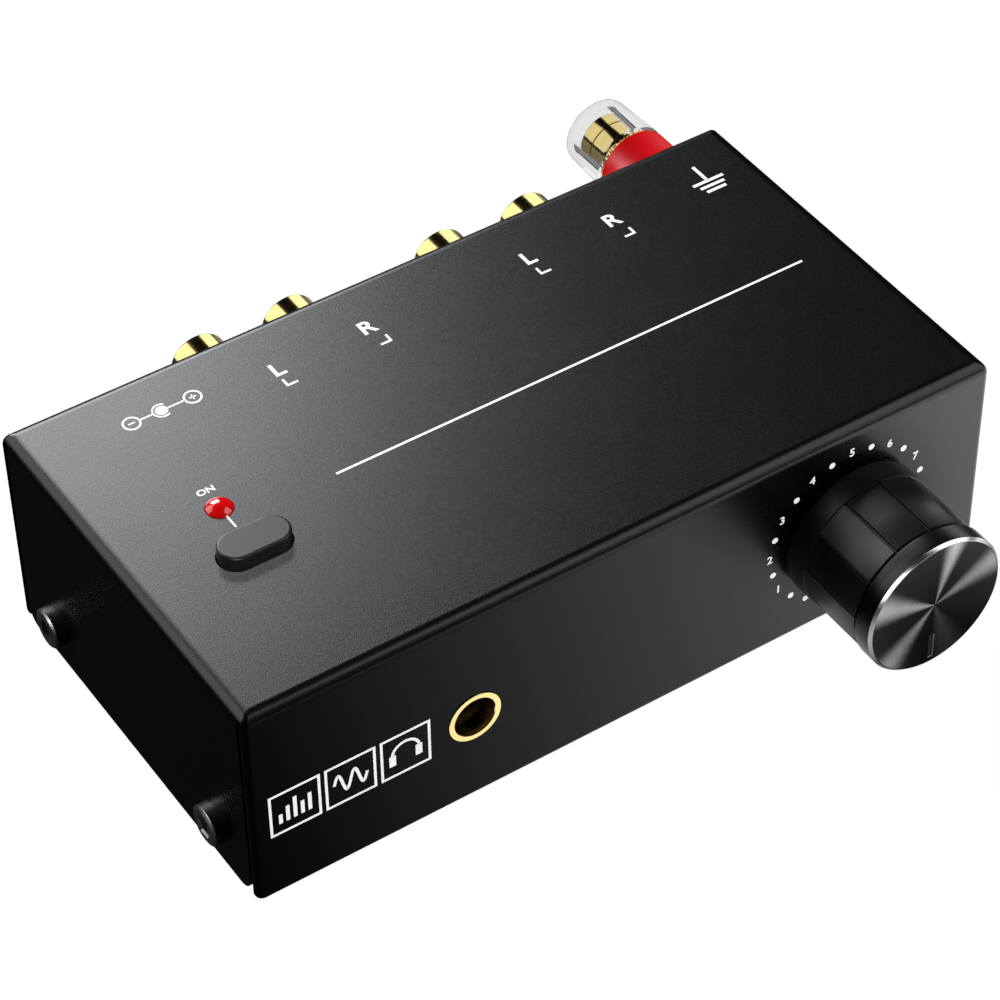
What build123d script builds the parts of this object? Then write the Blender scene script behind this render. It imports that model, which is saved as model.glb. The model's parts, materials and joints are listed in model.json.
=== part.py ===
from build123d import *
import os

# A desk-top phono preamplifier in millimetres. +X is to the right, +Y to the back and +Z up.
# The origin lies on the surface that the feet stand on, under the middle of the whole footprint.

# Folded steel case
case_width = 110.0
case_depth = 59.4
case_height = 31.8
sheet = 1.0  # thickness of the cover
bend_radius = 1.8  # outside of each fold
edge_round = 0.8  # cut edges of the front and rear flanges
corner_slot = 0.6  # between two flanges at a corner
slot_relief = 0.35  # radius of the slot's round end
flange_drop = 0.4  # front and rear flanges reach below the side ones
flange_corner = 1.2  # lower corners of the front and rear flanges
side_corner = 2.4  # lower corners of the side flanges
tray_sheet = 1.2
tray_gap = 0.1  # tray to cover, all round
tray_flange = 11.0
tray_bend = 1.6
pick = 0.01  # how near a face lies to the plane it is picked by

# Feet and screws
foot_height = 2.0
foot_radius = 4.0
foot_draft = 0.4  # narrower at the ground
foot_inset = 14.0
screw_gap = 0.05  # shank to its hole, radial
hole_gap = 0.1  # a part to its hole in a panel, radial
side_screw_head = 2.8
side_screw_head_height = 1.55
side_screw_bevel = 0.25
side_screw_shank = 1.45
side_screw_length = 5.5
side_screw_key = 2.4  # across the flats of the socket
side_screw_key_depth = 0.9
side_screw_rise = 5.6  # above the cover's lower edge
side_screw_spacing = 40.0
board_screw_head = 2.7
board_screw_head_height = 1.7
board_screw_bevel = 0.45
board_screw_shank = 1.5
board_screw_length = 5.0
board_screw_key = 2.0
board_screw_key_depth = 1.0
board_screw_inset = 4.0
standoff_flats = 5.5
standoff_stud = 1.9  # swaged into the tray

# Circuit board
board_rise = 8.0  # its top above the cover's lower edge
board_thickness = 1.6
board_side_gap = 4.0  # to the tray's side flanges, clear of the screw tips
board_front_gap = 1.5
board_rear_gap = 0.6
board_corner = 1.0
pin_side = 0.6
pin_gap = 0.1
pin_below = 1.0

# Volume control
knob_from_right = 21.73
knob_above_board = 7.5
knob_radius = 10.3
knob_reach = 18.0  # front panel to the knob's face
knob_rear_gap = 1.0
knob_skirt = 3.4
knob_collar = 3.0  # thickness of the metal front
knob_seam = 0.4  # groove behind the metal front
knob_seam_depth = 0.6
knob_bevel = 0.55
knob_flats = 12
knob_flat_turn = 25.0
knob_flat_step = 0.1  # flats' corners inside the skirt
knob_groove_width = 0.35
knob_groove_depth = 0.45
knob_wall = 1.9
knob_web = 2.0
knob_hub = 4.7
knob_hub_gap = 0.7  # hub to the end of the bush
knob_ribs = 6
knob_rib = 1.0
knob_mark_width = 0.8
knob_mark_start = 5.3
knob_mark_end = 9.2
knob_mark_depth = 0.25
shaft_radius = 3.0
shaft_flat = 1.5  # from the axis to the flat
shaft_gap = 0.05
shaft_cover = 0.8  # moulding left over the end of the shaft's hole
shaft_in_body = 4.0
shaft_end_gap = 0.3
bush_radius = 3.5
bush_reach = 5.0
bush_hole_gap = 0.15
pot_width = 9.8
pot_height = 12.2
pot_depth = 9.0
pot_plate = 1.6
pot_plate_rise = 0.8  # plate's lower edge above the board
pot_corner = 0.8
pot_pin_pitch = 2.5
pot_pin_rows = (6.0, 8.5)  # behind the panel's inner face
washer_radius = 5.8
washer_thickness = 0.5
nut_flats = 10.0
nut_thickness = 2.0
nut_chamfer = 0.4

# Headphone socket
headphone_from_left = 31.55
headphone_above_board = 5.75
ring_radius = 3.77
ring_mouth = 2.9
ring_proud = 0.15
ring_bevel = 0.25
ring_seat = 2.2  # sunk in the socket's body
headphone_bore = 1.8
headphone_back_wall = 0.8
headphone_width = 11.0
headphone_height = 10.6
headphone_depth = 14.5
headphone_corner = 0.6
contact_strip = 0.3
contact_width = 2.0
contact_height = 7.0
contact_places = (4.5, 11.0)  # behind the panel's inner face

# Power button and its switch
control_from_left = 15.9
button_from_front = 23.8
button_half_straight = 2.42
button_end_radius = 2.51
button_proud = 2.0
button_skirt = 2.6  # below the cover's top face
button_gap = 0.22
button_round = 0.35
button_lip = 0.7
button_lip_height = 0.8
button_lip_gap = 0.3  # to the underside of the cover
button_stem = 4.6
button_travel = 1.6
switch_side = 8.4
switch_height = 12.0
switch_wall = 1.1
switch_corner = 0.5
switch_pin_row = 2.54
switch_pin_pitch = 2.0
plunger_side = 3.2
plunger_gap = 0.12
plunger_above_body = 6.0
plunger_flange_side = 5.4
plunger_flange = 1.2
plunger_flange_gap = 0.1
plunger_peg = 1.2
plunger_peg_length = 3.0
stem_stop_gap = 1.4  # stem to the switch with the button pressed
stem_gap = 0.05
spring_radius = 1.8
spring_wire = 0.4
spring_turns = 5
spring_sides = 6  # flats of the wire's section
spring_end_gap = 0.08

# Lamp
lamp_from_front = 32.2
lamp_radius = 1.75
lamp_dome = 1.0  # height above the cover
lamp_rim = 0.2  # straight part of that height
lamp_gap = 0.12
lamp_flange_radius = 2.2
lamp_flange = 1.0
lamp_depth = 3.0  # body below the cover's top face
lead_spacing = 2.54
lead_bore = 0.5
spacer_radius = 2.6

# Signal jacks in the rear panel
output_from_left = 41.8
input_from_right = 29.95
jack_spacing = 14.0
jack_above_board = 9.0
jack_reach = 12.8
jack_barrel = 4.15
jack_barrel_wall = 0.5
jack_barrel_bevel = 0.3
jack_flange_radius = 5.0
jack_flange_proud = 0.6
jack_gap = 0.05
jack_insulator_sunk = 0.6
jack_contact_radius = 2.1
jack_contact_bore = 1.62
jack_contact_bore_depth = 7.4
jack_contact_sunk = 0.9
jack_contact_length = 8.0
jack_tail_radius = 0.6
jack_tail_length = 6.0  # behind the panel's inner face
jack_tab_width = 2.6
jack_tab = 0.4
jack_tab_length = 3.0
housing_side = 6.0  # beyond a jack's axis
housing_above_axis = 5.2
housing_depth = 10.0
housing_corner = 0.8
housing_notch = 3.4
housing_notch_depth = 7.5
housing_notch_above_axis = 1.4
jack_screw_head = 2.6
jack_screw_head_height = 1.6
jack_screw_bevel = 0.5
jack_screw_shank = 1.2
jack_screw_length = 7.0
jack_screw_drop = 4.6  # below the jacks' axis
jack_screw_key = 1.6
jack_screw_key_depth = 1.0

# Power inlet
inlet_from_left = 18.8
inlet_above_board = 6.5
inlet_width = 9.0
inlet_height = 11.0
inlet_depth = 13.2
inlet_corner = 0.6
inlet_nose = 4.0
inlet_bore = 2.9
inlet_bore_depth = 9.0
inlet_pin = 1.03
inlet_pin_round = 0.4
inlet_pin_sunk = 0.8
inlet_tab_width = 2.4
inlet_tab = 0.5
inlet_tab_above_axis = 1.6
inlet_side_tab_place = 8.0  # behind the panel's inner face

# Ground post
post_from_right = 8.1
post_below_top = 8.4
post_reach = 16.4
post_thread = 2.6
post_gap = 0.05
post_bore = 2.0
post_bore_depth = 12.0
post_bore_bevel = 0.3
post_stud_reach = 14.0
post_ledge = 1.0  # stud's shoulder inside the collar
post_wire_hole = 0.9
post_wire_reach = 8.4
post_tail = 1.95
post_tail_length = 6.5
post_tail_gap = 0.1
collar_radius = 5.48
collar_length = 7.3
collar_round = 0.25
collar_shoulder = 3.6
clamp_washer_radius = 5.15
clamp_washer_thickness = 0.6
clamp_washer_teeth = 40
clamp_washer_tooth = 0.3
clamp_gap = 0.1
thimble_radius = 3.3
thimble_reach = 14.8
thimble_flange_radius = 4.3
thimble_flange = 1.0
thimble_line = 12.5  # fine turned line round the thimble
thimble_line_width = 0.2
thimble_line_depth = 0.1
cap_end_radius = 5.15
cap_bevel = 0.35
post_washer_radius = 4.4
post_washer_thickness = 0.6
post_nut_flats = 7.0
post_nut_thickness = 2.4
lug_thickness = 0.5
lug_eye = 3.8
lug_width = 4.0
lug_length = 9.0
lug_round = 0.12
wire_radius = 0.6
wire_bend = 3.4
wire_run = 6.0
wire_shift = 2.0
wire_fall = 1.5

# Parts that stand on the board
chip_length = 9.4
chip_width = 6.4
chip_height = 3.3
chip_stand = 0.5
chip_corner = 0.3
chip_dimple = 0.6
chip_pins = 4  # on each side
chip_pitch = 2.54
chip_row = 7.62
chip_shoulder = 2.0  # pins' shoulders above the board
can_crimp = 0.3
can_crimp_rise = 1.6
can_round = 0.3
can_sizes = {"small": (2.5, 9.0, 2.0), "large": (4.0, 11.5, 3.5)}  # radius, height, pin spacing
film_length = 7.2
film_width = 2.6
film_height = 6.5
film_corner = 0.5
film_pitch = 5.0
resistor_radius = 0.95
resistor_bulge = 0.25
resistor_length = 6.3
resistor_cap = 1.4
resistor_pitch = 10.16
resistor_stand = 0.3
diode_radius = 1.35
diode_length = 5.2
diode_shift = 1.5  # to the left of the switch's axis
regulator_width = 10.2
regulator_height = 9.2
regulator_thickness = 4.4
regulator_stand = 1.5
regulator_tab = 1.3
regulator_tab_height = 6.3
regulator_hole = 1.8
regulator_pitch = 2.54

# Places on the board, as shares of a field's width and depth: the middle field lies between the switch
# and the right-hand screws, the front one between the headphone socket and the volume control
chip_spots = (("middle", 0.42, 0.43), ("middle", 0.72, 0.43))
can_spots = {
    "small": (
        ("middle", 0.40, 0.86), ("middle", 0.50, 0.86), ("middle", 0.70, 0.86), ("middle", 0.80, 0.86),
        ("front", 0.12, 0.50), ("front", 0.28, 0.50),
    ),
    "large": (("middle", 0.075, 0.25), ("middle", 0.075, 0.62), ("middle", 0.94, 0.40)),
}
film_spots = (("middle", 0.27, 0.14), ("middle", 0.60, 0.14), ("middle", 0.74, 0.14), ("front", 0.50, 0.50))
resistor_spots = (
    ("middle", 0.24, 0.675), ("middle", 0.42, 0.675), ("middle", 0.60, 0.675), ("middle", 0.78, 0.675),
    ("middle", 0.24, 0.43), ("middle", 0.44, 0.14), ("middle", 0.91, 0.14), ("front", 0.80, 0.50),
)
regulator_spot = ("middle", 0.22, 0.90)

# Levels and planes that the pieces share
total_depth = knob_reach + case_depth + post_reach
front_y = knob_reach - total_depth / 2
rear_y = front_y + case_depth
mid_y = (front_y + rear_y) / 2
left_x = -case_width / 2
right_x = case_width / 2
base_z = foot_height
top_z = base_z + case_height
front_inside = front_y + sheet
rear_inside = rear_y - sheet
tray_width = case_width - 2 * (sheet + tray_gap)
tray_depth = case_depth - 2 * (sheet + tray_gap)
tray_top = base_z + tray_sheet
board_z = base_z + board_rise
board_under = board_z - board_thickness
pin_end = board_under - pin_below
board_width = tray_width - 2 * (tray_sheet + board_side_gap)
board_front = front_inside + board_front_gap
board_rear = rear_inside - board_rear_gap
knob_x = right_x - knob_from_right
knob_z = board_z + knob_above_board
headphone_x = left_x + headphone_from_left
headphone_z = board_z + headphone_above_board
control_x = left_x + control_from_left
button_y = front_y + button_from_front
lamp_y = front_y + lamp_from_front
jack_z = board_z + jack_above_board
inlet_x = left_x + inlet_from_left
inlet_z = board_z + inlet_above_board
post_x = right_x - post_from_right
post_z = top_z - post_below_top
side_screw_z = base_z + side_screw_rise
side_screw_rows = (mid_y - side_screw_spacing / 2, mid_y + side_screw_spacing / 2)
jack_pairs = {"output": left_x + output_from_left, "input": right_x - input_from_right}
jack_sides = {"left": -jack_spacing / 2, "right": jack_spacing / 2}
jack_places = [x + shift for x in jack_pairs.values() for shift in jack_sides.values()]
foot_places = [
    (x, y)
    for x in (left_x + foot_inset, right_x - foot_inset)
    for y in (front_y + foot_inset, rear_y - foot_inset)
]
board_screw_places = [
    (x, y)
    for x in (board_screw_inset - board_width / 2, board_width / 2 - board_screw_inset)
    for y in (board_front + board_screw_inset, board_rear - board_screw_inset)
]
sockets_rear = front_inside + headphone_depth
inlet_front = rear_inside - inlet_depth - inlet_tab
fields = {
    "middle": (
        control_x + switch_side / 2, board_width / 2 - 2 * board_screw_inset, sockets_rear, inlet_front
    ),
    "front": (
        headphone_x + headphone_width / 2 + contact_strip, knob_x - pot_width / 2, board_front, sockets_rear
    ),
}
board_pins = []  # x, y of each pin that goes through the board


def spot(field, across, back):
    """Place on the board from its shares of a field."""
    left, right, front, rear = fields[field]
    return (left + across * (right - left), front + back * (rear - front))


def front_plane(x, z, out=0.0):
    """Plane facing the front, out mm in front of the panel; its axes are +X and +Z."""
    return Plane(origin=(x, front_y - out, z), x_dir=(1, 0, 0), z_dir=(0, -1, 0))


def rear_plane(x, z, out=0.0):
    """Plane facing the back, out mm behind the panel; its axes are -X and +Z."""
    return Plane(origin=(x, rear_y + out, z), x_dir=(-1, 0, 0), z_dir=(0, 1, 0))


def outline(plane, points):
    """Closed straight-sided face on a plane."""
    with BuildSketch(plane) as face:
        with BuildLine():
            Polyline(*points, close=True)
        make_face()
    return face.sketch


def front_turned(x, z, points):
    """Half section for turning about the line x, z: (radius, distance in front of the panel)."""
    return outline(Plane(origin=(x, front_y, z), x_dir=(1, 0, 0), z_dir=(0, 0, -1)), points)


def rear_turned(x, z, points):
    """Half section for turning about the line x, z: (radius, distance behind the panel)."""
    return outline(Plane(origin=(x, rear_y, z), x_dir=(1, 0, 0), z_dir=(0, 0, 1)), points)


def along_y(x, z):
    return Axis((x, 0, z), (0, 1, 0))


def tube(inner, outer, start, end):
    """Half section of a plain tube."""
    return [(inner, start), (outer, start), (outer, end), (inner, end)]


def pin_feet(places):
    """Ends of square pins under the board, which gets a hole for each of them."""
    board_pins.extend(places)
    with BuildSketch(Plane.XY.offset(pin_end)) as feet:
        with Locations(*places):
            Rectangle(pin_side, pin_side)
    return feet.sketch


def block(x, y, length, width, bottom, top):
    """Upright box outline with its height, for extrude."""
    with BuildSketch(Plane.XY.offset(bottom)) as base:
        with Locations((x, y)):
            Rectangle(length, width)
    return {"to_extrude": base.sketch, "amount": top - bottom}


def save(piece, name):
    piece.part.label = name
    export_step(piece.part, f"parts/{name}.step")


os.makedirs("parts", exist_ok=True)

# Cover: one folded sheet with a top and four flanges, open below
with BuildPart() as cover_hollow:
    with BuildSketch(Plane.XY.offset(base_z - flange_drop)):
        with Locations((0, mid_y)):
            Rectangle(case_width - 2 * sheet, case_depth - 2 * sheet)
    extrude(amount=case_height + flange_drop - sheet)
    fillet(cover_hollow.edges().group_by(Axis.Z)[-1], bend_radius - sheet)

with BuildPart() as cover:
    with BuildSketch(Plane.XY.offset(base_z - flange_drop)):
        with Locations((0, mid_y)):
            Rectangle(case_width, case_depth)
    extrude(amount=case_height + flange_drop)
    fillet(cover.edges().group_by(Axis.Z)[-1], bend_radius)
    add(cover_hollow.part, mode=Mode.SUBTRACT)
    slot_top = top_z - bend_radius / 2 - slot_relief
    with BuildSketch(Plane.YZ):
        for slot_y in (front_inside + corner_slot / 2, rear_inside - corner_slot / 2):
            with Locations((slot_y, slot_top)):
                Rectangle(corner_slot, slot_top, align=(Align.CENTER, Align.MAX))
                Circle(slot_relief)
        with Locations((mid_y, base_z)):
            Rectangle(rear_inside - front_inside, flange_drop, align=(Align.CENTER, Align.MAX))
    extrude(amount=case_width, both=True, mode=Mode.SUBTRACT)
    low_edges = cover.edges().group_by(Axis.Z)[0].filter_by(lambda edge: edge.length < 2 * sheet)
    fillet(low_edges.filter_by(Axis.Y), flange_corner)
    low_edges = cover.edges().filter_by(Axis.X).filter_by(lambda edge: edge.length < 2 * sheet)
    fillet(low_edges.group_by(Axis.Z)[0], side_corner)
    for panel_y in (front_y, rear_y):
        panel = cover.faces().filter_by(Axis.Y).filter_by(lambda face: abs(face.center().Y - panel_y) < pick)
        fillet(panel.edges().filter_by(lambda edge: edge.center().Z < top_z - bend_radius - pick), edge_round)
    with BuildSketch(front_plane(0, 0, sheet)):
        with Locations((knob_x, knob_z)):
            Circle(bush_radius + bush_hole_gap)
        with Locations((headphone_x, headphone_z)):
            Circle(ring_radius + hole_gap)
    extrude(amount=-3 * sheet, mode=Mode.SUBTRACT)
    with BuildSketch(rear_plane(0, 0, sheet)):
        for jack_x in jack_places:
            with Locations((-jack_x, jack_z)):
                Circle(jack_flange_radius + hole_gap)
        for pair_x in jack_pairs.values():
            with Locations((-pair_x, jack_z - jack_screw_drop)):
                Circle(jack_screw_shank + hole_gap)
        with Locations((-inlet_x, inlet_z)):
            Circle(inlet_nose + hole_gap)
        with Locations((-post_x, post_z)):
            Circle(collar_shoulder + hole_gap)
    extrude(amount=-3 * sheet, mode=Mode.SUBTRACT)
    with BuildSketch(Plane.XY.offset(top_z + sheet)):
        with Locations((control_x, button_y)):
            SlotCenterToCenter(2 * button_half_straight, 2 * (button_end_radius + button_gap))
        with Locations((control_x, lamp_y)):
            Circle(lamp_radius + lamp_gap)
    extrude(amount=-3 * sheet, mode=Mode.SUBTRACT)
    with BuildSketch(Plane.YZ):
        with Locations(*[(y, side_screw_z) for y in side_screw_rows]):
            Circle(side_screw_shank + screw_gap)
    extrude(amount=case_width, both=True, mode=Mode.SUBTRACT)
save(cover, "cover")

# Base tray: floor with two upturned sides that take the cover screws
with BuildPart() as tray_hollow:
    with BuildSketch(Plane.XY.offset(tray_top)):
        with Locations((0, mid_y)):
            Rectangle(tray_width - 2 * tray_sheet, case_depth)
    extrude(amount=tray_flange)
    fillet(tray_hollow.edges().group_by(Axis.Z)[0].filter_by(Axis.Y), tray_bend - tray_sheet)

with BuildPart() as base_tray:
    with BuildSketch(Plane.XY.offset(base_z)):
        with Locations((0, mid_y)):
            Rectangle(tray_width, tray_depth)
    extrude(amount=tray_flange)
    fillet(base_tray.edges().group_by(Axis.Z)[0].filter_by(Axis.Y), tray_bend)
    add(tray_hollow.part, mode=Mode.SUBTRACT)
    fillet(base_tray.edges().group_by(Axis.Z)[-1].filter_by(Axis.X), flange_corner)
    with BuildSketch(Plane.YZ):
        with Locations(*[(y, side_screw_z) for y in side_screw_rows]):
            Circle(side_screw_shank + screw_gap)
    extrude(amount=case_width, both=True, mode=Mode.SUBTRACT)
    with BuildSketch(Plane.XY.offset(base_z)):
        with Locations(*board_screw_places):
            Circle(standoff_stud + screw_gap)
    extrude(amount=tray_sheet, mode=Mode.SUBTRACT)
save(base_tray, "base_tray")

with BuildPart() as rubber_feet:
    for foot_x, foot_y in foot_places:
        with BuildSketch():
            with Locations((foot_x, foot_y)):
                Circle(foot_radius - foot_draft)
        with BuildSketch(Plane.XY.offset(foot_height)):
            with Locations((foot_x, foot_y)):
                Circle(foot_radius)
        loft()
save(rubber_feet, "rubber_feet")

# Screws through the cover's sides into the tray
with BuildPart() as side_screws:
    for side in (-1, 1):
        for screw_y in side_screw_rows:
            seat = Plane((side * case_width / 2, screw_y, side_screw_z), x_dir=(0, 1, 0), z_dir=(side, 0, 0))
            with BuildSketch(seat):
                Circle(side_screw_head)
            extrude(amount=side_screw_head_height)
            chamfer(side_screws.edges().group_by(Axis.X)[-1 if side > 0 else 0], side_screw_bevel)
            with BuildSketch(seat.offset(side_screw_head_height)):
                RegularPolygon(side_screw_key / 2, 6, major_radius=False)
            extrude(amount=-side_screw_key_depth, mode=Mode.SUBTRACT)
            with BuildSketch(seat):
                Circle(side_screw_shank)
            extrude(amount=-side_screw_length)
save(side_screws, "side_screws")

# Hexagonal standoffs between the tray and the board
with BuildPart() as board_standoffs:
    for screw_spot in board_screw_places:
        with BuildSketch(Plane.XY.offset(tray_top)):
            with Locations(screw_spot):
                RegularPolygon(standoff_flats / 2, 6, major_radius=False)
        extrude(amount=board_under - tray_top)
        with BuildSketch(Plane.XY.offset(base_z)):
            with Locations(screw_spot):
                Circle(standoff_stud)
        extrude(amount=tray_sheet)
        with BuildSketch(Plane.XY.offset(board_under)):
            with Locations(screw_spot):
                Circle(board_screw_shank + screw_gap)
        extrude(amount=-board_screw_length, mode=Mode.SUBTRACT)
save(board_standoffs, "board_standoffs")

with BuildPart() as board_screws:
    for screw_spot in board_screw_places:
        with BuildSketch(Plane.XY.offset(board_z)):
            with Locations(screw_spot):
                Circle(board_screw_head)
        extrude(amount=board_screw_head_height)
        with BuildSketch(Plane.XY.offset(board_z - board_screw_length)):
            with Locations(screw_spot):
                Circle(board_screw_shank)
        extrude(amount=board_screw_length)
    chamfer(board_screws.edges().group_by(Axis.Z)[-1], board_screw_bevel)
    with BuildSketch(Plane.XY.offset(board_z + board_screw_head_height)):
        with Locations(*board_screw_places):
            RegularPolygon(board_screw_key / 2, 6, major_radius=False)
    extrude(amount=-board_screw_key_depth, mode=Mode.SUBTRACT)
save(board_screws, "board_screws")

# Volume control: a die-cast bush and plate on a moulded body
pot_front = -sheet  # the plate stands against the inside of the panel
pot_body_front = pot_front - pot_plate
pot_back = pot_front - pot_depth
shaft_end = pot_body_front - shaft_in_body
pot_top = board_z + pot_height
knob_body_end = knob_reach - knob_collar - knob_seam
shaft_reach = knob_body_end - shaft_cover - shaft_end_gap

with BuildPart() as pot_body:
    pot_middle = (board_z + pot_top) / 2
    with BuildSketch(front_plane(knob_x, pot_middle, pot_back)):
        Rectangle(pot_width, pot_height)
    extrude(amount=pot_body_front - pot_back)
    fillet(pot_body.edges().group_by(Axis.Z)[-1].filter_by(Axis.Y), pot_corner)
    blind_hole = tube(0, shaft_radius + shaft_gap, shaft_end - shaft_end_gap, pot_body_front)
    revolve(front_turned(knob_x, knob_z, blind_hole), axis=along_y(knob_x, knob_z), mode=Mode.SUBTRACT)
save(pot_body, "pot_body")

with BuildPart() as pot_bush:
    plate_height = pot_height - pot_plate_rise
    with BuildSketch(front_plane(knob_x, pot_top - plate_height / 2, pot_body_front)):
        Rectangle(pot_width, plate_height)
    extrude(amount=pot_plate)
    fillet(pot_bush.edges().group_by(Axis.Z)[-1].filter_by(Axis.Y), pot_corner)
    with BuildSketch(front_plane(knob_x, knob_z, pot_front)):
        Circle(bush_radius)
    extrude(amount=bush_reach - pot_front)
    with BuildSketch(front_plane(knob_x, knob_z, pot_body_front)):
        Circle(shaft_radius + shaft_gap)
    extrude(amount=bush_reach - pot_body_front, mode=Mode.SUBTRACT)
save(pot_bush, "pot_bush")

with BuildPart() as pot_washer:
    revolve(
        front_turned(knob_x, knob_z, tube(bush_radius + hole_gap, washer_radius, 0, washer_thickness)),
        axis=along_y(knob_x, knob_z),
    )
save(pot_washer, "pot_washer")

with BuildPart() as pot_nut:
    with BuildSketch(front_plane(knob_x, knob_z, washer_thickness)):
        RegularPolygon(nut_flats / 2, 6, major_radius=False)
    extrude(amount=nut_thickness)
    chamfer(pot_nut.edges().group_by(Axis.Y)[0], nut_chamfer)
    with BuildSketch(front_plane(knob_x, knob_z, washer_thickness)):
        Circle(bush_radius + screw_gap)
    extrude(amount=nut_thickness, mode=Mode.SUBTRACT)
save(pot_nut, "pot_nut")

with BuildPart() as pot_terminals:
    pot_pins = [
        (knob_x + shift, front_inside + row)
        for shift in (-pot_pin_pitch, 0, pot_pin_pitch)
        for row in pot_pin_rows
    ]
    extrude(pin_feet(pot_pins), amount=board_z - pin_end)
save(pot_terminals, "pot_terminals")

with BuildPart() as pot_shaft:
    with BuildSketch(front_plane(knob_x, knob_z, shaft_end)):
        Circle(shaft_radius)
    extrude(amount=bush_reach + shaft_end_gap - shaft_end)
    with BuildSketch(front_plane(knob_x, knob_z, bush_reach + shaft_end_gap)):
        Circle(shaft_radius)
        with Locations((0, shaft_flat)):
            Rectangle(2 * shaft_radius, shaft_radius, align=(Align.CENTER, Align.MIN), mode=Mode.SUBTRACT)
    extrude(amount=shaft_reach - bush_reach - shaft_end_gap)
save(pot_shaft, "pot_shaft")

# Knob: moulded body with twelve flats, and a turned metal front set off by a groove
skirt_end = knob_rear_gap + knob_skirt
knob_cavity = knob_radius - knob_wall
hub_start = bush_reach + knob_hub_gap
web_start = knob_body_end - knob_web
knob_axis = along_y(knob_x, knob_z)

with BuildPart() as knob_body:
    revolve(front_turned(knob_x, knob_z, tube(0, knob_radius, knob_rear_gap, skirt_end)), axis=knob_axis)
    with BuildSketch(front_plane(knob_x, knob_z, skirt_end)):
        RegularPolygon(knob_radius - knob_flat_step, knob_flats, rotation=knob_flat_turn)
        with PolarLocations(knob_radius, knob_flats, start_angle=knob_flat_turn):
            Rectangle(2 * knob_groove_depth, knob_groove_width, mode=Mode.SUBTRACT)
    extrude(amount=knob_body_end - skirt_end)
    hollow = [
        (0, knob_rear_gap), (knob_cavity, knob_rear_gap), (knob_cavity, web_start),
        (knob_hub, web_start), (knob_hub, hub_start), (0, hub_start),
    ]
    revolve(front_turned(knob_x, knob_z, hollow), axis=knob_axis, mode=Mode.SUBTRACT)
    with BuildSketch(front_plane(knob_x, knob_z, hub_start + knob_rib)):
        with PolarLocations((knob_cavity + knob_hub) / 2, knob_ribs):
            Rectangle(knob_cavity - knob_hub + knob_rib, knob_rib)
    extrude(amount=web_start - hub_start - knob_rib)
    with BuildSketch(front_plane(knob_x, knob_z, hub_start)):
        Circle(shaft_radius + shaft_gap)
        with Locations((0, shaft_flat + shaft_gap)):
            Rectangle(2 * knob_hub, knob_hub, align=(Align.CENTER, Align.MIN), mode=Mode.SUBTRACT)
    extrude(amount=shaft_reach + shaft_end_gap - hub_start, mode=Mode.SUBTRACT)
save(knob_body, "knob_body")

with BuildPart() as knob_cap:
    cap_outline = [
        (0, knob_body_end), (knob_radius - knob_seam_depth, knob_body_end),
        (knob_radius - knob_seam_depth, knob_body_end + knob_seam),
        (knob_radius, knob_body_end + knob_seam),
        (knob_radius, knob_reach - knob_bevel), (knob_radius - knob_bevel, knob_reach), (0, knob_reach),
    ]
    revolve(front_turned(knob_x, knob_z, cap_outline), axis=knob_axis)
    with BuildSketch(front_plane(knob_x, knob_z, knob_reach)):
        with Locations((0, -knob_mark_start)):
            Rectangle(knob_mark_width, knob_mark_end - knob_mark_start, align=(Align.CENTER, Align.MAX))
    extrude(amount=-knob_mark_depth, mode=Mode.SUBTRACT)
save(knob_cap, "knob_cap")

# Headphone socket: gilt ring in the panel, sunk in a moulded body on the board
ring_end = -sheet - ring_seat
headphone_axis = along_y(headphone_x, headphone_z)

with BuildPart() as headphone_ring:
    ring_outline = [
        (ring_mouth, ring_end), (ring_radius, ring_end), (ring_radius, ring_proud),
        (ring_mouth + ring_bevel, ring_proud), (ring_mouth, ring_proud - ring_bevel),
    ]
    revolve(front_turned(headphone_x, headphone_z, ring_outline), axis=headphone_axis)
save(headphone_ring, "headphone_ring")

with BuildPart() as headphone_socket:
    with BuildSketch(front_plane(headphone_x, board_z + headphone_height / 2, -sheet)):
        Rectangle(headphone_width, headphone_height)
    extrude(amount=-headphone_depth)
    fillet(headphone_socket.edges().group_by(Axis.Z)[-1].filter_by(Axis.Y), headphone_corner)
    socket_end = headphone_back_wall - sheet - headphone_depth
    bore = [
        (0, -sheet), (ring_radius + jack_gap, -sheet), (ring_radius + jack_gap, ring_end),
        (headphone_bore, ring_end), (headphone_bore, socket_end), (0, socket_end),
    ]
    revolve(front_turned(headphone_x, headphone_z, bore), axis=headphone_axis, mode=Mode.SUBTRACT)
save(headphone_socket, "headphone_socket")

with BuildPart() as headphone_contacts:
    strip_side = (headphone_width + contact_strip) / 2
    strip_spots = [
        (headphone_x + side * strip_side, front_inside + place)
        for side in (-1, 1)
        for place in contact_places
    ]
    for strip_x, strip_y in strip_spots:
        extrude(**block(strip_x, strip_y, contact_strip, contact_width, board_z, board_z + contact_height))
    extrude(pin_feet(strip_spots), amount=board_z - pin_end)
save(headphone_contacts, "headphone_contacts")

# Power switch on the board, its return spring, and the button that stands on its plunger
switch_top = board_z + switch_height
switch_ceiling = switch_top - switch_wall
switch_floor = board_z + switch_wall
plunger_flange_top = switch_ceiling - plunger_flange_gap
plunger_flange_under = plunger_flange_top - plunger_flange
plunger_top = switch_top + plunger_above_body
stem_end = switch_top + button_travel + stem_stop_gap

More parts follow.
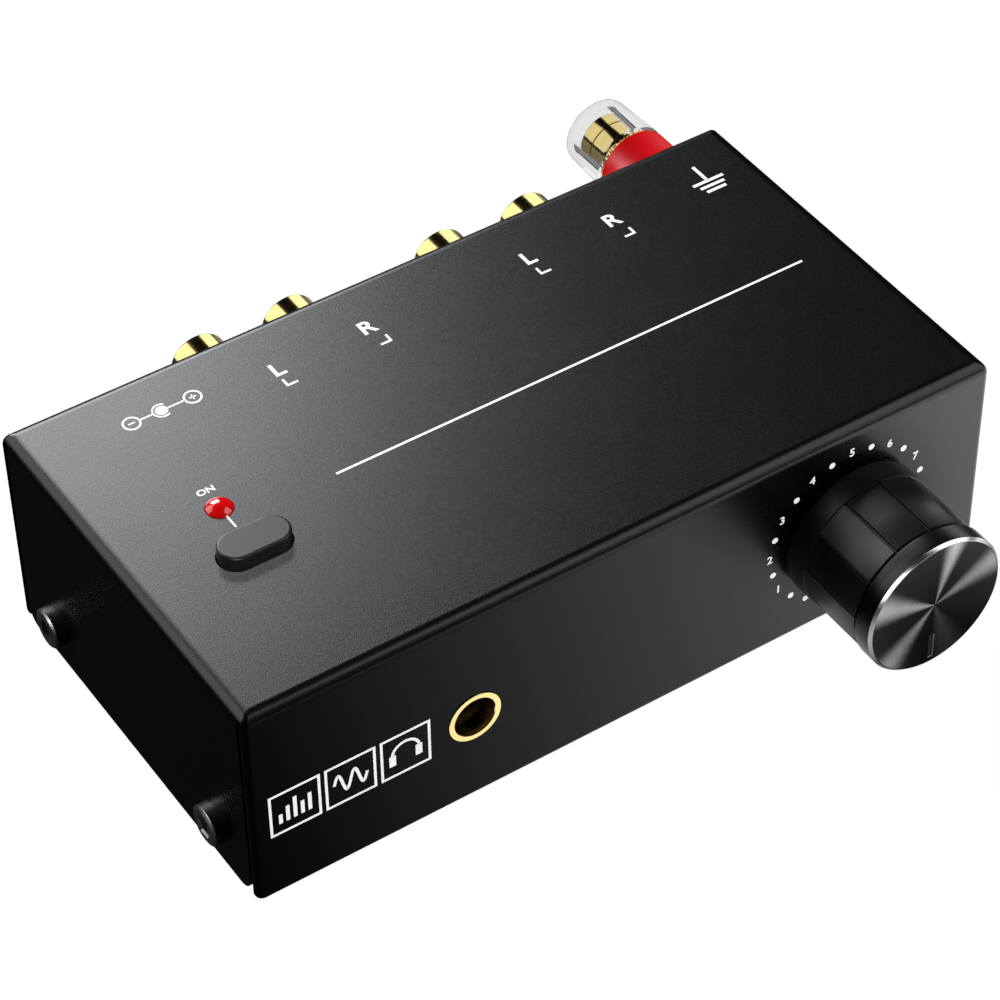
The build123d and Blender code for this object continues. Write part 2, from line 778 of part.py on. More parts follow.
with BuildPart() as switch_body:
    extrude(**block(control_x, button_y, switch_side, switch_side, board_z, switch_top))
    fillet(switch_body.edges().filter_by(Axis.Z), switch_corner)
    cavity_side = switch_side - 2 * switch_wall
    extrude(
        **block(control_x, button_y, cavity_side, cavity_side, switch_floor, switch_ceiling),
        mode=Mode.SUBTRACT,
    )
    mouth_side = plunger_side + 2 * plunger_gap
    extrude(
        **block(control_x, button_y, mouth_side, mouth_side, switch_ceiling, switch_top),
        mode=Mode.SUBTRACT,
    )
save(switch_body, "switch_body")

with BuildPart() as switch_plunger:
    extrude(**block(control_x, button_y, plunger_side, plunger_side, plunger_flange_under, plunger_top))
    flange_side = plunger_flange_side
    extrude(**block(control_x, button_y, flange_side, flange_side, plunger_flange_under, plunger_flange_top))
    with BuildSketch(Plane.XY.offset(plunger_flange_under)):
        with Locations((control_x, button_y)):
            Circle(plunger_peg)
    extrude(amount=-plunger_peg_length)
save(switch_plunger, "switch_plunger")

with BuildPart() as switch_spring:
    coil_start = switch_floor + spring_wire / 2 + spring_end_gap
    coil_height = plunger_flange_under - switch_floor - spring_wire - 2 * spring_end_gap
    with BuildLine() as coil:
        coil_centre = (control_x, button_y, coil_start)
        Helix(coil_height / spring_turns, coil_height, spring_radius, center=coil_centre)
    with BuildSketch(Plane(coil.line @ 0, z_dir=coil.line % 0)):
        RegularPolygon(spring_wire / 2, spring_sides)
    sweep(is_frenet=True)
save(switch_spring, "switch_spring")

with BuildPart() as switch_terminals:
    switch_pins = [
        (control_x + side * switch_pin_row, button_y + step * switch_pin_pitch)
        for side in (-1, 1)
        for step in (-1, 0, 1)
    ]
    extrude(pin_feet(switch_pins), amount=board_z - pin_end)
save(switch_terminals, "switch_terminals")

with BuildPart() as power_button:
    button_under = top_z - button_skirt
    lip_top = top_z - sheet - button_lip_gap
    with BuildSketch(Plane.XY.offset(button_under)):
        with Locations((control_x, button_y)):
            SlotCenterToCenter(2 * button_half_straight, 2 * button_end_radius)
    extrude(amount=button_skirt + button_proud)
    fillet(power_button.edges().group_by(Axis.Z)[-1], button_round)
    with BuildSketch(Plane.XY.offset(lip_top)):
        with Locations((control_x, button_y)):
            SlotCenterToCenter(2 * button_half_straight, 2 * (button_end_radius + button_lip))
    extrude(amount=-button_lip_height)
    extrude(**block(control_x, button_y, button_stem, button_stem, stem_end, button_under))
    socket = plunger_side + 2 * stem_gap
    extrude(**block(control_x, button_y, socket, socket, stem_end, plunger_top), mode=Mode.SUBTRACT)
save(power_button, "power_button")

# Lamp on its spacer
lamp_under = top_z - lamp_depth
lead_spots = [(control_x - lead_spacing / 2, lamp_y), (control_x + lead_spacing / 2, lamp_y)]

with BuildPart() as lamp_lens:
    with BuildSketch(Plane(origin=(control_x, lamp_y, 0), x_dir=(1, 0, 0), z_dir=(0, -1, 0))):
        with BuildLine():
            dome_rise = lamp_dome - lamp_rim
            dome_radius = (lamp_radius**2 + dome_rise**2) / (2 * dome_rise)
            dome = RadiusArc((lamp_radius, top_z + lamp_rim), (0, top_z + lamp_dome), -dome_radius)
            Polyline(
                dome @ 1, (0, lamp_under), (lamp_flange_radius, lamp_under),
                (lamp_flange_radius, lamp_under + lamp_flange), (lamp_radius, lamp_under + lamp_flange),
                dome @ 0,
            )
        make_face()
    revolve(axis=Axis((control_x, lamp_y, 0), (0, 0, 1)))
save(lamp_lens, "lamp_lens")

with BuildPart() as lamp_spacer:
    with BuildSketch(Plane.XY.offset(board_z)):
        with Locations((control_x, lamp_y)):
            Circle(spacer_radius)
        with Locations(*lead_spots):
            Circle(lead_bore, mode=Mode.SUBTRACT)
    extrude(amount=lamp_under - board_z)
save(lamp_spacer, "lamp_spacer")

with BuildPart() as lamp_leads:
    extrude(pin_feet(lead_spots), amount=lamp_under - pin_end)
save(lamp_leads, "lamp_leads")

# Signal jacks: shell with earth tab, insulator and centre contact, two to a housing
contact_end = jack_reach - jack_contact_sunk
contact_start = contact_end - jack_contact_length
insulator_end = jack_reach - jack_insulator_sunk
shell_inside = jack_barrel - jack_barrel_wall
insulator_radius = shell_inside - jack_gap
tab_z = jack_z - (shell_inside + jack_flange_radius) / 2
leg_y = rear_inside - jack_tail_length


def jack_shell(jack_x):
    """Turned barrel with a flange at its root and a folded earth tab down to the board."""
    with BuildPart() as shell:
        section = [
            (shell_inside, -sheet), (jack_flange_radius, -sheet), (jack_flange_radius, jack_flange_proud),
            (jack_barrel, jack_flange_proud), (jack_barrel, jack_reach - jack_barrel_bevel),
            (jack_barrel - jack_barrel_bevel, jack_reach), (shell_inside, jack_reach),
        ]
        revolve(rear_turned(jack_x, jack_z, section), axis=along_y(jack_x, jack_z))
        with BuildSketch(rear_plane(jack_x, tab_z, -sheet)):
            Rectangle(jack_tab_width, jack_tab)
        extrude(amount=-jack_tab_length)
        foot = (jack_x, rear_inside - jack_tab_length + pin_side / 2)
        extrude(pin_feet([foot]), amount=tab_z - pin_end)
    return shell


def jack_insulators(side):
    """Moulded sleeves of one channel."""
    with BuildPart() as sleeves:
        for pair_x in jack_pairs.values():
            jack_x = pair_x + jack_sides[side]
            section = [
                (jack_tail_radius + jack_gap, -sheet), (insulator_radius, -sheet),
                (insulator_radius, insulator_end), (jack_contact_radius + jack_gap, insulator_end),
                (jack_contact_radius + jack_gap, contact_start - jack_gap),
                (jack_tail_radius + jack_gap, contact_start - jack_gap),
            ]
            revolve(rear_turned(jack_x, jack_z, section), axis=along_y(jack_x, jack_z))
    return sleeves


def jack_housing(pair_x):
    """Moulded block behind the panel, notched from below for each jack's contacts."""
    with BuildPart() as housing:
        width = jack_spacing + 2 * housing_side
        middle = rear_inside - housing_depth / 2
        extrude(**block(pair_x, middle, width, housing_depth, board_z, jack_z + housing_above_axis))
        fillet(housing.edges().group_by(Axis.Z)[-1], housing_corner)
        for shift in jack_sides.values():
            notch_y = rear_inside - housing_notch_depth / 2
            notch_top = jack_z + housing_notch_above_axis
            extrude(
                **block(pair_x + shift, notch_y, housing_notch, housing_notch_depth, board_z, notch_top),
                mode=Mode.SUBTRACT,
            )
        with BuildSketch(rear_plane(pair_x, jack_z - jack_screw_drop, -sheet)):
            Circle(jack_screw_shank + screw_gap)
        extrude(amount=sheet - jack_screw_length, mode=Mode.SUBTRACT)
    return housing


for pair_name, pair_x in jack_pairs.items():
    for side_name, side_shift in jack_sides.items():
        save(jack_shell(pair_x + side_shift), f"rca_shell_{pair_name}_{side_name}")
    save(jack_housing(pair_x), f"rca_housing_{pair_name}")
for side_name in jack_sides:
    save(jack_insulators(side_name), f"rca_insulators_{side_name}")

with BuildPart() as rca_contacts:
    for jack_x in jack_places:
        bore_end = contact_end - jack_contact_bore_depth
        section = [
            (0, -sheet - jack_tail_length), (jack_tail_radius, -sheet - jack_tail_length),
            (jack_tail_radius, contact_start), (jack_contact_radius, contact_start),
            (jack_contact_radius, contact_end), (jack_contact_bore, contact_end),
            (jack_contact_bore, bore_end), (0, bore_end),
        ]
        revolve(rear_turned(jack_x, jack_z, section), axis=along_y(jack_x, jack_z))
        extrude(pin_feet([(jack_x, leg_y)]), amount=jack_z - pin_end)
save(rca_contacts, "rca_contacts")

with BuildPart() as rca_screws:
    for pair_x in jack_pairs.values():
        with BuildSketch(rear_plane(pair_x, jack_z - jack_screw_drop)):
            Circle(jack_screw_head)
        extrude(amount=jack_screw_head_height)
    chamfer(rca_screws.edges().group_by(Axis.Y)[-1], jack_screw_bevel)
    for pair_x in jack_pairs.values():
        screw_z = jack_z - jack_screw_drop
        with BuildSketch(rear_plane(pair_x, screw_z, jack_screw_head_height)):
            RegularPolygon(jack_screw_key / 2, 6, major_radius=False)
        extrude(amount=-jack_screw_key_depth, mode=Mode.SUBTRACT)
        with BuildSketch(rear_plane(pair_x, screw_z)):
            Circle(jack_screw_shank)
        extrude(amount=-jack_screw_length)
save(rca_screws, "rca_screws")

# Power inlet
inlet_back = -sheet - inlet_depth
inlet_axis = along_y(inlet_x, inlet_z)

with BuildPart() as dc_socket:
    inlet_middle = rear_inside - inlet_depth / 2
    extrude(**block(inlet_x, inlet_middle, inlet_width, inlet_depth, board_z, board_z + inlet_height))
    fillet(dc_socket.edges().group_by(Axis.Z)[-1], inlet_corner)
    with BuildSketch(rear_plane(inlet_x, inlet_z)):
        Circle(inlet_nose)
    extrude(amount=-sheet)
    bore_floor = -inlet_bore_depth
    bore = [
        (0, inlet_back), (inlet_pin + jack_gap, inlet_back), (inlet_pin + jack_gap, bore_floor),
        (inlet_bore, bore_floor), (inlet_bore, 0), (0, 0),
    ]
    revolve(rear_turned(inlet_x, inlet_z, bore), axis=inlet_axis, mode=Mode.SUBTRACT)
save(dc_socket, "dc_socket")

with BuildPart() as dc_pin:
    pin_outline = [
        (0, inlet_back), (inlet_pin, inlet_back), (inlet_pin, -inlet_pin_sunk - inlet_pin_round),
        (inlet_pin - inlet_pin_round, -inlet_pin_sunk), (0, -inlet_pin_sunk),
    ]
    revolve(rear_turned(inlet_x, inlet_z, pin_outline), axis=inlet_axis)
save(dc_pin, "dc_pin")

with BuildPart() as dc_contacts:
    back_y = rear_y + inlet_back - inlet_tab / 2
    side_x = inlet_x + (inlet_width + inlet_tab) / 2
    side_y = rear_inside - inlet_side_tab_place
    tab_top = inlet_z + inlet_tab_above_axis
    extrude(**block(inlet_x, back_y, inlet_tab_width, inlet_tab, board_z, tab_top))
    extrude(**block(side_x, side_y, inlet_tab, inlet_tab_width, board_z, tab_top))
    extrude(pin_feet([(inlet_x, back_y), (side_x, side_y)]), amount=board_z - pin_end)
save(dc_contacts, "dc_contacts")

# Ground post: insulated stud, toothed clamping washer and a screw cap on a gilt thimble
post_axis = along_y(post_x, post_z)
washer_end = collar_length + clamp_washer_thickness
cap_start = washer_end + clamp_gap
thimble_flange_end = cap_start + thimble_flange

with BuildPart() as post_collar:
    section = [
        (post_tail + post_tail_gap, -sheet), (collar_shoulder, -sheet), (collar_shoulder, 0),
        (collar_radius, 0), (collar_radius, collar_length - collar_round),
        (collar_radius - collar_round, collar_length),
        (post_thread + post_gap, collar_length), (post_thread + post_gap, post_ledge),
        (post_tail + post_tail_gap, post_ledge),
    ]
    revolve(rear_turned(post_x, post_z, section), axis=post_axis)
save(post_collar, "post_collar")

with BuildPart() as post_stud:
    bore_floor = post_stud_reach - post_bore_depth
    section = [
        (0, -post_tail_length), (post_tail, -post_tail_length), (post_tail, post_ledge),
        (post_thread, post_ledge), (post_thread, post_stud_reach),
        (post_bore + post_bore_bevel, post_stud_reach), (post_bore, post_stud_reach - post_bore_bevel),
        (post_bore, bore_floor), (0, bore_floor),
    ]
    revolve(rear_turned(post_x, post_z, section), axis=post_axis)
    with BuildSketch(Plane(origin=(post_x, rear_y + post_wire_reach, post_z), z_dir=(1, 0, 0))):
        Circle(post_wire_hole)
    extrude(amount=2 * post_thread, both=True, mode=Mode.SUBTRACT)
save(post_stud, "post_stud")

with BuildPart() as post_clamp_washer:
    with BuildSketch(rear_plane(post_x, post_z, collar_length)):
        Circle(clamp_washer_radius)
        with PolarLocations(clamp_washer_radius, clamp_washer_teeth):
            RegularPolygon(clamp_washer_tooth, 4, rotation=0, mode=Mode.SUBTRACT)
        Circle(post_thread + post_gap, mode=Mode.SUBTRACT)
    extrude(amount=clamp_washer_thickness)
save(post_clamp_washer, "post_clamp_washer")

with BuildPart() as post_thimble:
    line_start = thimble_line - thimble_line_width / 2
    line_end = thimble_line + thimble_line_width / 2
    section = [
        (post_thread + post_gap, cap_start), (thimble_flange_radius, cap_start),
        (thimble_flange_radius, thimble_flange_end), (thimble_radius, thimble_flange_end),
        (thimble_radius, line_start), (thimble_radius - thimble_line_depth, line_start),
        (thimble_radius - thimble_line_depth, line_end), (thimble_radius, line_end),
        (thimble_radius, thimble_reach), (post_thread + post_gap, thimble_reach),
    ]
    revolve(rear_turned(post_x, post_z, section), axis=post_axis)
save(post_thimble, "post_thimble")

with BuildPart() as post_cap:
    section = [
        (thimble_flange_radius + post_gap, cap_start), (collar_radius, cap_start),
        (cap_end_radius, post_reach - cap_bevel), (cap_end_radius - cap_bevel, post_reach),
        (thimble_radius + post_gap, post_reach), (thimble_radius + post_gap, thimble_flange_end + post_gap),
        (thimble_flange_radius + post_gap, thimble_flange_end + post_gap),
    ]
    revolve(rear_turned(post_x, post_z, section), axis=post_axis)
save(post_cap, "post_cap")

# Inside the rear panel: insulating washer, wire lug and nut of the ground post
lug_front = -sheet - post_washer_thickness
nut_front = lug_front - lug_thickness

with BuildPart() as post_washer:
    section = tube(post_tail + post_tail_gap, post_washer_radius, lug_front, -sheet)
    revolve(rear_turned(post_x, post_z, section), axis=post_axis)
save(post_washer, "post_washer")

with BuildPart() as post_lug:
    with BuildSketch(rear_plane(post_x, post_z, lug_front)):
        Circle(lug_eye)
        Rectangle(lug_width, lug_length, align=(Align.CENTER, Align.MAX))
        Circle(post_tail + post_tail_gap, mode=Mode.SUBTRACT)
    extrude(amount=-lug_thickness)
    fillet(post_lug.edges().group_by(Axis.Z)[0].filter_by(Axis.X), lug_round)
save(post_lug, "post_lug")

with BuildPart() as post_nut:
    with BuildSketch(rear_plane(post_x, post_z, nut_front)):
        RegularPolygon(post_nut_flats / 2, 6, major_radius=False)
        Circle(post_tail + screw_gap, mode=Mode.SUBTRACT)
    extrude(amount=-post_nut_thickness)
save(post_nut, "post_nut")

with BuildPart() as ground_wire:
    wire_z = post_z - lug_length + lug_width / 2
    wire_y = rear_y + nut_front
    with BuildLine() as route:
        FilletPolyline(
            (post_x, wire_y, wire_z),
            (post_x, wire_y - wire_run, wire_z),
            (post_x - wire_shift, wire_y - 2 * wire_run, wire_z - wire_fall),
            (post_x - wire_shift, wire_y - 2 * wire_run, board_z),
            radius=wire_bend,
        )
    with BuildSketch(Plane(route.line @ 0, z_dir=route.line % 0)):
        Circle(wire_radius)
    sweep()
save(ground_wire, "ground_wire")

# Parts soldered to the board
with BuildPart() as op_amps:
    chip_places = [spot(*shares) for shares in chip_spots]
    for chip_x, chip_y in chip_places:
        bottom = board_z + chip_stand
        extrude(**block(chip_x, chip_y, chip_length, chip_width, bottom, bottom + chip_height))
        steps = [chip_pitch * (step - (chip_pins - 1) / 2) for step in range(chip_pins)]
        chip_feet = [(chip_x + step, chip_y + side * chip_row / 2) for step in steps for side in (-1, 1)]
        shoulder = board_z + chip_shoulder
        extrude(pin_feet(chip_feet), amount=shoulder - pin_end)
        for step in steps:
            extrude(**block(chip_x + step, chip_y, pin_side, chip_row, shoulder - pin_side, shoulder))
    chip_edges = op_amps.edges().group_by(Axis.Z)[-1]
    chamfer(chip_edges, chip_corner)
    with BuildSketch(Plane.XY.offset(board_z + chip_stand + chip_height)):
        with Locations(*[(x - chip_length / 2, y) for x, y in chip_places]):
            Circle(chip_dimple + chip_corner)
    extrude(amount=-chip_corner, mode=Mode.SUBTRACT)
save(op_amps, "op_amps")

with BuildPart() as electrolytic_capacitors:
    for kind, (can_radius, can_height, can_pitch) in can_sizes.items():
        for can_x, can_y in [spot(*shares) for shares in can_spots[kind]]:
            crimp = board_z + can_crimp_rise
            section = [
                (0, board_z), (can_radius, board_z), (can_radius, crimp - can_crimp),
                (can_radius - can_crimp, crimp), (can_radius, crimp + can_crimp),
                (can_radius, board_z + can_height - can_round),
                (can_radius - can_round, board_z + can_height), (0, board_z + can_height),
            ]
            can_plane = Plane(origin=(can_x, can_y, 0), x_dir=(1, 0, 0), z_dir=(0, -1, 0))
            revolve(outline(can_plane, section), axis=Axis((can_x, can_y, 0), (0, 0, 1)))
            can_feet = [(can_x - can_pitch / 2, can_y), (can_x + can_pitch / 2, can_y)]
            extrude(pin_feet(can_feet), amount=board_z - pin_end)
save(electrolytic_capacitors, "electrolytic_capacitors")

with BuildPart() as film_capacitors:
    for film_x, film_y in [spot(*shares) for shares in film_spots]:
        extrude(**block(film_x, film_y, film_length, film_width, board_z, board_z + film_height))
        film_feet = [(film_x - film_pitch / 2, film_y), (film_x + film_pitch / 2, film_y)]
        extrude(pin_feet(film_feet), amount=board_z - pin_end)
    fillet(film_capacitors.edges().group_by(Axis.Z)[-1], film_corner)
save(film_capacitors, "film_capacitors")


def axial_part(x, y, radius, length, swell, swell_length):
    """Lying round body on two bent legs, with thicker ends where swell isn't zero."""
    height = board_z + resistor_stand + radius + swell
    section = [(-length / 2, 0), (length / 2, 0), (length / 2, radius + swell)]
    if swell:
        waist = length / 2 - swell_length
        section += [(waist, radius + swell), (waist - swell, radius)]
        section += [(swell - waist, radius), (-waist, radius + swell)]
    section.append((-length / 2, radius + swell))
    plane = Plane(origin=(x, y, height), x_dir=(1, 0, 0), z_dir=(0, -1, 0))
    revolve(outline(plane, section), axis=Axis((x, y, height), (1, 0, 0)))
    extrude(**block(x, y, resistor_pitch, pin_side, height - pin_side / 2, height + pin_side / 2))
    feet = [(x - resistor_pitch / 2, y), (x + resistor_pitch / 2, y)]
    extrude(pin_feet(feet), amount=height + pin_side / 2 - pin_end)


with BuildPart() as resistors:
    for shares in resistor_spots:
        axial_part(*spot(*shares), resistor_radius, resistor_length, resistor_bulge, resistor_cap)
save(resistors, "resistors")

with BuildPart() as rectifier_diode:
    diode_y = (lamp_y + spacer_radius + inlet_front) / 2
    axial_part(control_x - diode_shift, diode_y, diode_radius, diode_length, 0, 0)
save(rectifier_diode, "rectifier_diode")

with BuildPart() as voltage_regulator:
    regulator_x, regulator_y = spot(*regulator_spot)
    bottom = board_z + regulator_stand
    middle = bottom + regulator_height
    extrude(**block(regulator_x, regulator_y, regulator_width, regulator_thickness, bottom, middle))
    back_y = regulator_y + (regulator_thickness - regulator_tab) / 2
    tab_end = middle + regulator_tab_height
    extrude(**block(regulator_x, back_y, regulator_width, regulator_tab, middle, tab_end))
    with BuildSketch(Plane.XZ.offset(-back_y)):
        with Locations((regulator_x, (middle + tab_end) / 2)):
            Circle(regulator_hole)
    extrude(amount=regulator_thickness, both=True, mode=Mode.SUBTRACT)
    regulator_feet = [(regulator_x + step * regulator_pitch, regulator_y) for step in (-1, 0, 1)]
    extrude(pin_feet(regulator_feet), amount=bottom - pin_end)
save(voltage_regulator, "voltage_regulator")

# Board, drilled for its screws and for every pin above
with BuildPart() as circuit_board:
    board_middle = (board_front + board_rear) / 2
    extrude(**block(0, board_middle, board_width, board_rear - board_front, board_under, board_z))
    fillet(circuit_board.edges().filter_by(Axis.Z), board_corner)
    with BuildSketch(Plane.XY.offset(board_under)):
        with Locations(*board_screw_places):
            Circle(board_screw_shank + hole_gap)
        with Locations(*board_pins):
            Rectangle(pin_side + 2 * pin_gap, pin_side + 2 * pin_gap)
    extrude(amount=board_thickness, mode=Mode.SUBTRACT)
save(circuit_board, "circuit_board")
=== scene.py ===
import json
import math
import bmesh
import bpy
import numpy as np
from mathutils import Matrix, Vector

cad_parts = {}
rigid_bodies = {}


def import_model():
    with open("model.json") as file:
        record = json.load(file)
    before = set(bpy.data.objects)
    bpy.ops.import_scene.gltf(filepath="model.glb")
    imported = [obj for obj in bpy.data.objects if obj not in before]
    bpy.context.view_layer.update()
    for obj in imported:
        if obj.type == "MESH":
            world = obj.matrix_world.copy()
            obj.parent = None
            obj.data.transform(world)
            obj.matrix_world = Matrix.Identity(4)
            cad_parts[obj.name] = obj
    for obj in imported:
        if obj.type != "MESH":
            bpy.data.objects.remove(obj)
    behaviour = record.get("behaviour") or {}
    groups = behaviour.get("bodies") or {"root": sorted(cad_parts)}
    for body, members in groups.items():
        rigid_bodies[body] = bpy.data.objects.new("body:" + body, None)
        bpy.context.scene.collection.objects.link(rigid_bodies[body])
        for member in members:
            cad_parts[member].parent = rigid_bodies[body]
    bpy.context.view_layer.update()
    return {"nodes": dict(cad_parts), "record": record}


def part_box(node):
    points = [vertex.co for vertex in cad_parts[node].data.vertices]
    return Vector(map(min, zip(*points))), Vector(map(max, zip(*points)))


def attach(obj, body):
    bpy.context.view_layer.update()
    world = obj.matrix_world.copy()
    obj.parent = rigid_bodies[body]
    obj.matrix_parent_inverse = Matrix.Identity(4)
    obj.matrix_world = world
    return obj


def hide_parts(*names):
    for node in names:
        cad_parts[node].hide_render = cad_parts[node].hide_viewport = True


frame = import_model()
nodes = frame["nodes"]
slotOf = {part["node"]: part["material_slot"] for part in frame["record"]["subparts"]}
mm = 0.001


# Planes and axes that the pieces share, taken from the frame
def middleOf(node):
    low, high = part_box(node)
    return (low.x + high.x) / 2, (low.z + high.z) / 2


coverLow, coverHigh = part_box("cover")
leftX, frontY, _ = coverLow
_, rearY, topZ = coverHigh
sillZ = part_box("base_tray")[0].z
knobX, knobZ = middleOf("knob_cap")
ringX, ringZ = middleOf("headphone_ring")
postX, postZ = middleOf("post_collar")


# Nodes: sockets are set by name or number, and joined where a link is given
def setSockets(tree, node, inputs):
    for key, value in inputs.items():
        if isinstance(value, bpy.types.NodeSocket):
            tree.links.new(value, node.inputs[key])
        else:
            node.inputs[key].default_value = value


def addNode(tree, kind, inputs=None, **settings):
    node = tree.nodes.new(kind)
    for key, value in settings.items():
        setattr(node, key, value)
    setSockets(tree, node, inputs or {})
    return node


def addMath(tree, operation, first, second=0.0, third=0.0):
    return addNode(tree, "ShaderNodeMath", {0: first, 1: second, 2: third}, operation=operation).outputs[0]


# a value carried from one range into another, clamped at both ends
def addRange(tree, value, fromLow, fromHigh, toLow=0.0, toHigh=1.0):
    sockets = {"Value": value, "From Min": fromLow, "From Max": fromHigh, "To Min": toLow, "To Max": toHigh}
    return addNode(tree, "ShaderNodeMapRange", sockets).outputs["Result"]


def addMix(tree, factor, first, second):
    return addNode(tree, "ShaderNodeMix", {0: factor, 6: first, 7: second}, data_type="RGBA").outputs[2]


def addNoise(tree, vector, scale, detail=2.0, roughness=0.5):
    sockets = {"Vector": vector, "Scale": scale, "Detail": detail, "Roughness": roughness}
    return addNode(tree, "ShaderNodeTexNoise", sockets).outputs["Fac"]


def objectVector(tree):
    return addNode(tree, "ShaderNodeTexCoord").outputs["Object"]


def splitVector(tree, vector):
    return addNode(tree, "ShaderNodeSeparateXYZ", {"Vector": vector}).outputs


# a group takes a place and its sizes in metres, and puts out heights, tones or masks
def newGroup(name, sizes, outputs):
    group = bpy.data.node_groups.new(name, "ShaderNodeTree")
    group.interface.new_socket(name="Vector", in_out="INPUT", socket_type="NodeSocketVector")
    for socket, value in sizes.items():
        made = group.interface.new_socket(name=socket, in_out="INPUT", socket_type="NodeSocketFloat")
        made.default_value = value
    for socket in outputs:
        group.interface.new_socket(name=socket, in_out="OUTPUT", socket_type="NodeSocketFloat")
    return group, group.nodes.new("NodeGroupInput").outputs, group.nodes.new("NodeGroupOutput")


# a group reads the object's own place, unless it is given another
def useGroup(tree, group, place=None, **sizes):
    sockets = {"Vector": place or objectVector(tree), **sizes}
    return addNode(tree, "ShaderNodeGroup", sockets, node_tree=bpy.data.node_groups[group]).outputs


# Powder coat: fused grains with pits between them, and a slow change of tone
def makePowderGrain():
    group, given, out = newGroup("powderGrain", {"Grain": 0.0003}, ["Height", "Tone"])
    density = addMath(group, "DIVIDE", 1.0, given["Grain"])
    fine = addNoise(group, given["Vector"], density, 3.0, 0.62)
    pits = addNode(group, "ShaderNodeTexVoronoi", {"Vector": given["Vector"], "Scale": density})
    pits = addRange(group, pits.outputs["Distance"], 0.1, 0.75, 1.0, 0.0)
    slow = addNoise(group, given["Vector"], addMath(group, "MULTIPLY", density, 0.02))
    height = addMath(group, "MULTIPLY_ADD", fine, 0.7, addMath(group, "MULTIPLY", pits, 0.3))
    tone = addMath(group, "MULTIPLY_ADD", slow, 0.4, addMath(group, "MULTIPLY", fine, 0.6))
    setSockets(group, out, {"Height": height, "Tone": tone})


# Lathe marks: rings that follow the second coordinate of the piece's own map, with a little chatter round it
def makeTurnedLines():
    group, given, out = newGroup("turnedLines", {"Pitch": 0.00006}, ["Height", "Tone"])
    parts = splitVector(group, given["Vector"])
    along = addMath(group, "DIVIDE", parts["Y"], given["Pitch"])
    across = addMath(group, "MULTIPLY", parts["X"], 9.0)
    chatter = addNode(group, "ShaderNodeCombineXYZ", {"X": across, "Y": along}).outputs[0]
    slow = addNode(group, "ShaderNodeCombineXYZ", {"Y": addMath(group, "MULTIPLY", along, 0.07)}).outputs[0]
    made = {"Height": addNoise(group, chatter, 1.0, 2.0, 0.6), "Tone": addNoise(group, slow, 1.0, 3.0, 0.6)}
    setSockets(group, out, made)


# Moulded skin: a fine spark-eroded grain, and slow flow marks
def makeMouldedSkin():
    group, given, out = newGroup("mouldedSkin", {"Size": 0.00008}, ["Height", "Tone"])
    density = addMath(group, "DIVIDE", 1.0, given["Size"])
    fine = addNoise(group, given["Vector"], density, 2.0, 0.55)
    slow = addNoise(group, given["Vector"], addMath(group, "MULTIPLY", density, 0.03), 2.0, 0.4)
    setSockets(group, out, {"Height": fine, "Tone": slow})


# Edge wear: where the rounded normal leaves the flat one, broken up by noise
def makeEdgeWear():
    group, given, out = newGroup("edgeWear", {"Width": 0.00015, "Size": 0.0009}, ["Mask"])
    rounded = addNode(group, "ShaderNodeBevel", {"Radius": given["Width"]}, samples=4).outputs[0]
    plain = addNode(group, "ShaderNodeNewGeometry").outputs["Normal"]
    turn = addNode(group, "ShaderNodeVectorMath", {0: rounded, 1: plain}, operation="DOT_PRODUCT")
    edge = addRange(group, turn.outputs["Value"], 0.995, 0.93)
    density = addMath(group, "DIVIDE", 1.0, given["Size"])
    broken = addRange(group, addNoise(group, given["Vector"], density, 3.0, 0.6), 0.42, 0.62)
    setSockets(group, out, {"Mask": addMath(group, "MULTIPLY", edge, broken)})


# Handling: soft patches where fingers have dulled the surface
def makeHandling():
    group, given, out = newGroup("handling", {"Size": 0.012}, ["Mask"])
    density = addMath(group, "DIVIDE", 1.0, given["Size"])
    patches = addNoise(group, given["Vector"], density, 3.0, 0.55)
    setSockets(group, out, {"Mask": addRange(group, patches, 0.45, 0.7)})


makePowderGrain()
makeTurnedLines()
makeMouldedSkin()
makeEdgeWear()
makeHandling()
print("groups:", len(bpy.data.node_groups))


# A finish is a Principled BSDF whose plain sockets are set by name, and the nodes that feed its others
def newFinish(name, **sockets):
    material = bpy.data.materials.new(name)
    material.use_nodes = True
    tree = material.node_tree
    tree.nodes.clear()
    shader = tree.nodes.new("ShaderNodeBsdfPrincipled")
    output = tree.nodes.new("ShaderNodeOutputMaterial")
    tree.links.new(shader.outputs[0], output.inputs[0])
    for key, value in sockets.items():
        shader.inputs[key.replace("_", " ")].default_value = value
    return material, tree, shader


def addSkin(tree, size):
    return useGroup(tree, "mouldedSkin", Size=size)


def addMarks(tree, size):
    return useGroup(tree, "handling", Size=size)["Mask"]


# lathe marks on the piece's own map
def addTurnedLines(tree, pitch):
    mapped = addNode(tree, "ShaderNodeUVMap", uv_map="turned").outputs[0]
    return useGroup(tree, "turnedLines", mapped, Pitch=pitch)


def feedColour(tree, shader, factor, dark, light):
    tree.links.new(addMix(tree, factor, (*dark, 1.0), (*light, 1.0)), shader.inputs["Base Color"])


def feedBump(tree, shader, height, depth, strength=1.0):
    bump = addNode(tree, "ShaderNodeBump", {"Height": height, "Distance": depth, "Strength": strength})
    tree.links.new(bump.outputs[0], shader.inputs["Normal"])


# roughness that goes through `gloss` as the height goes through `span`, plus what each mask adds to it
def feedRough(tree, shader, height, span, gloss, masks=()):
    rough = addRange(tree, height, *span, *gloss)
    for mask, change in masks:
        rough = addMath(tree, "MULTIPLY_ADD", mask, change, rough)
    tree.links.new(rough, shader.inputs["Roughness"])


# gloss and relief that both follow one height
def feedSurface(tree, shader, height, span, gloss, depth, masks=()):
    feedRough(tree, shader, height, span, gloss, masks)
    feedBump(tree, shader, height, depth)


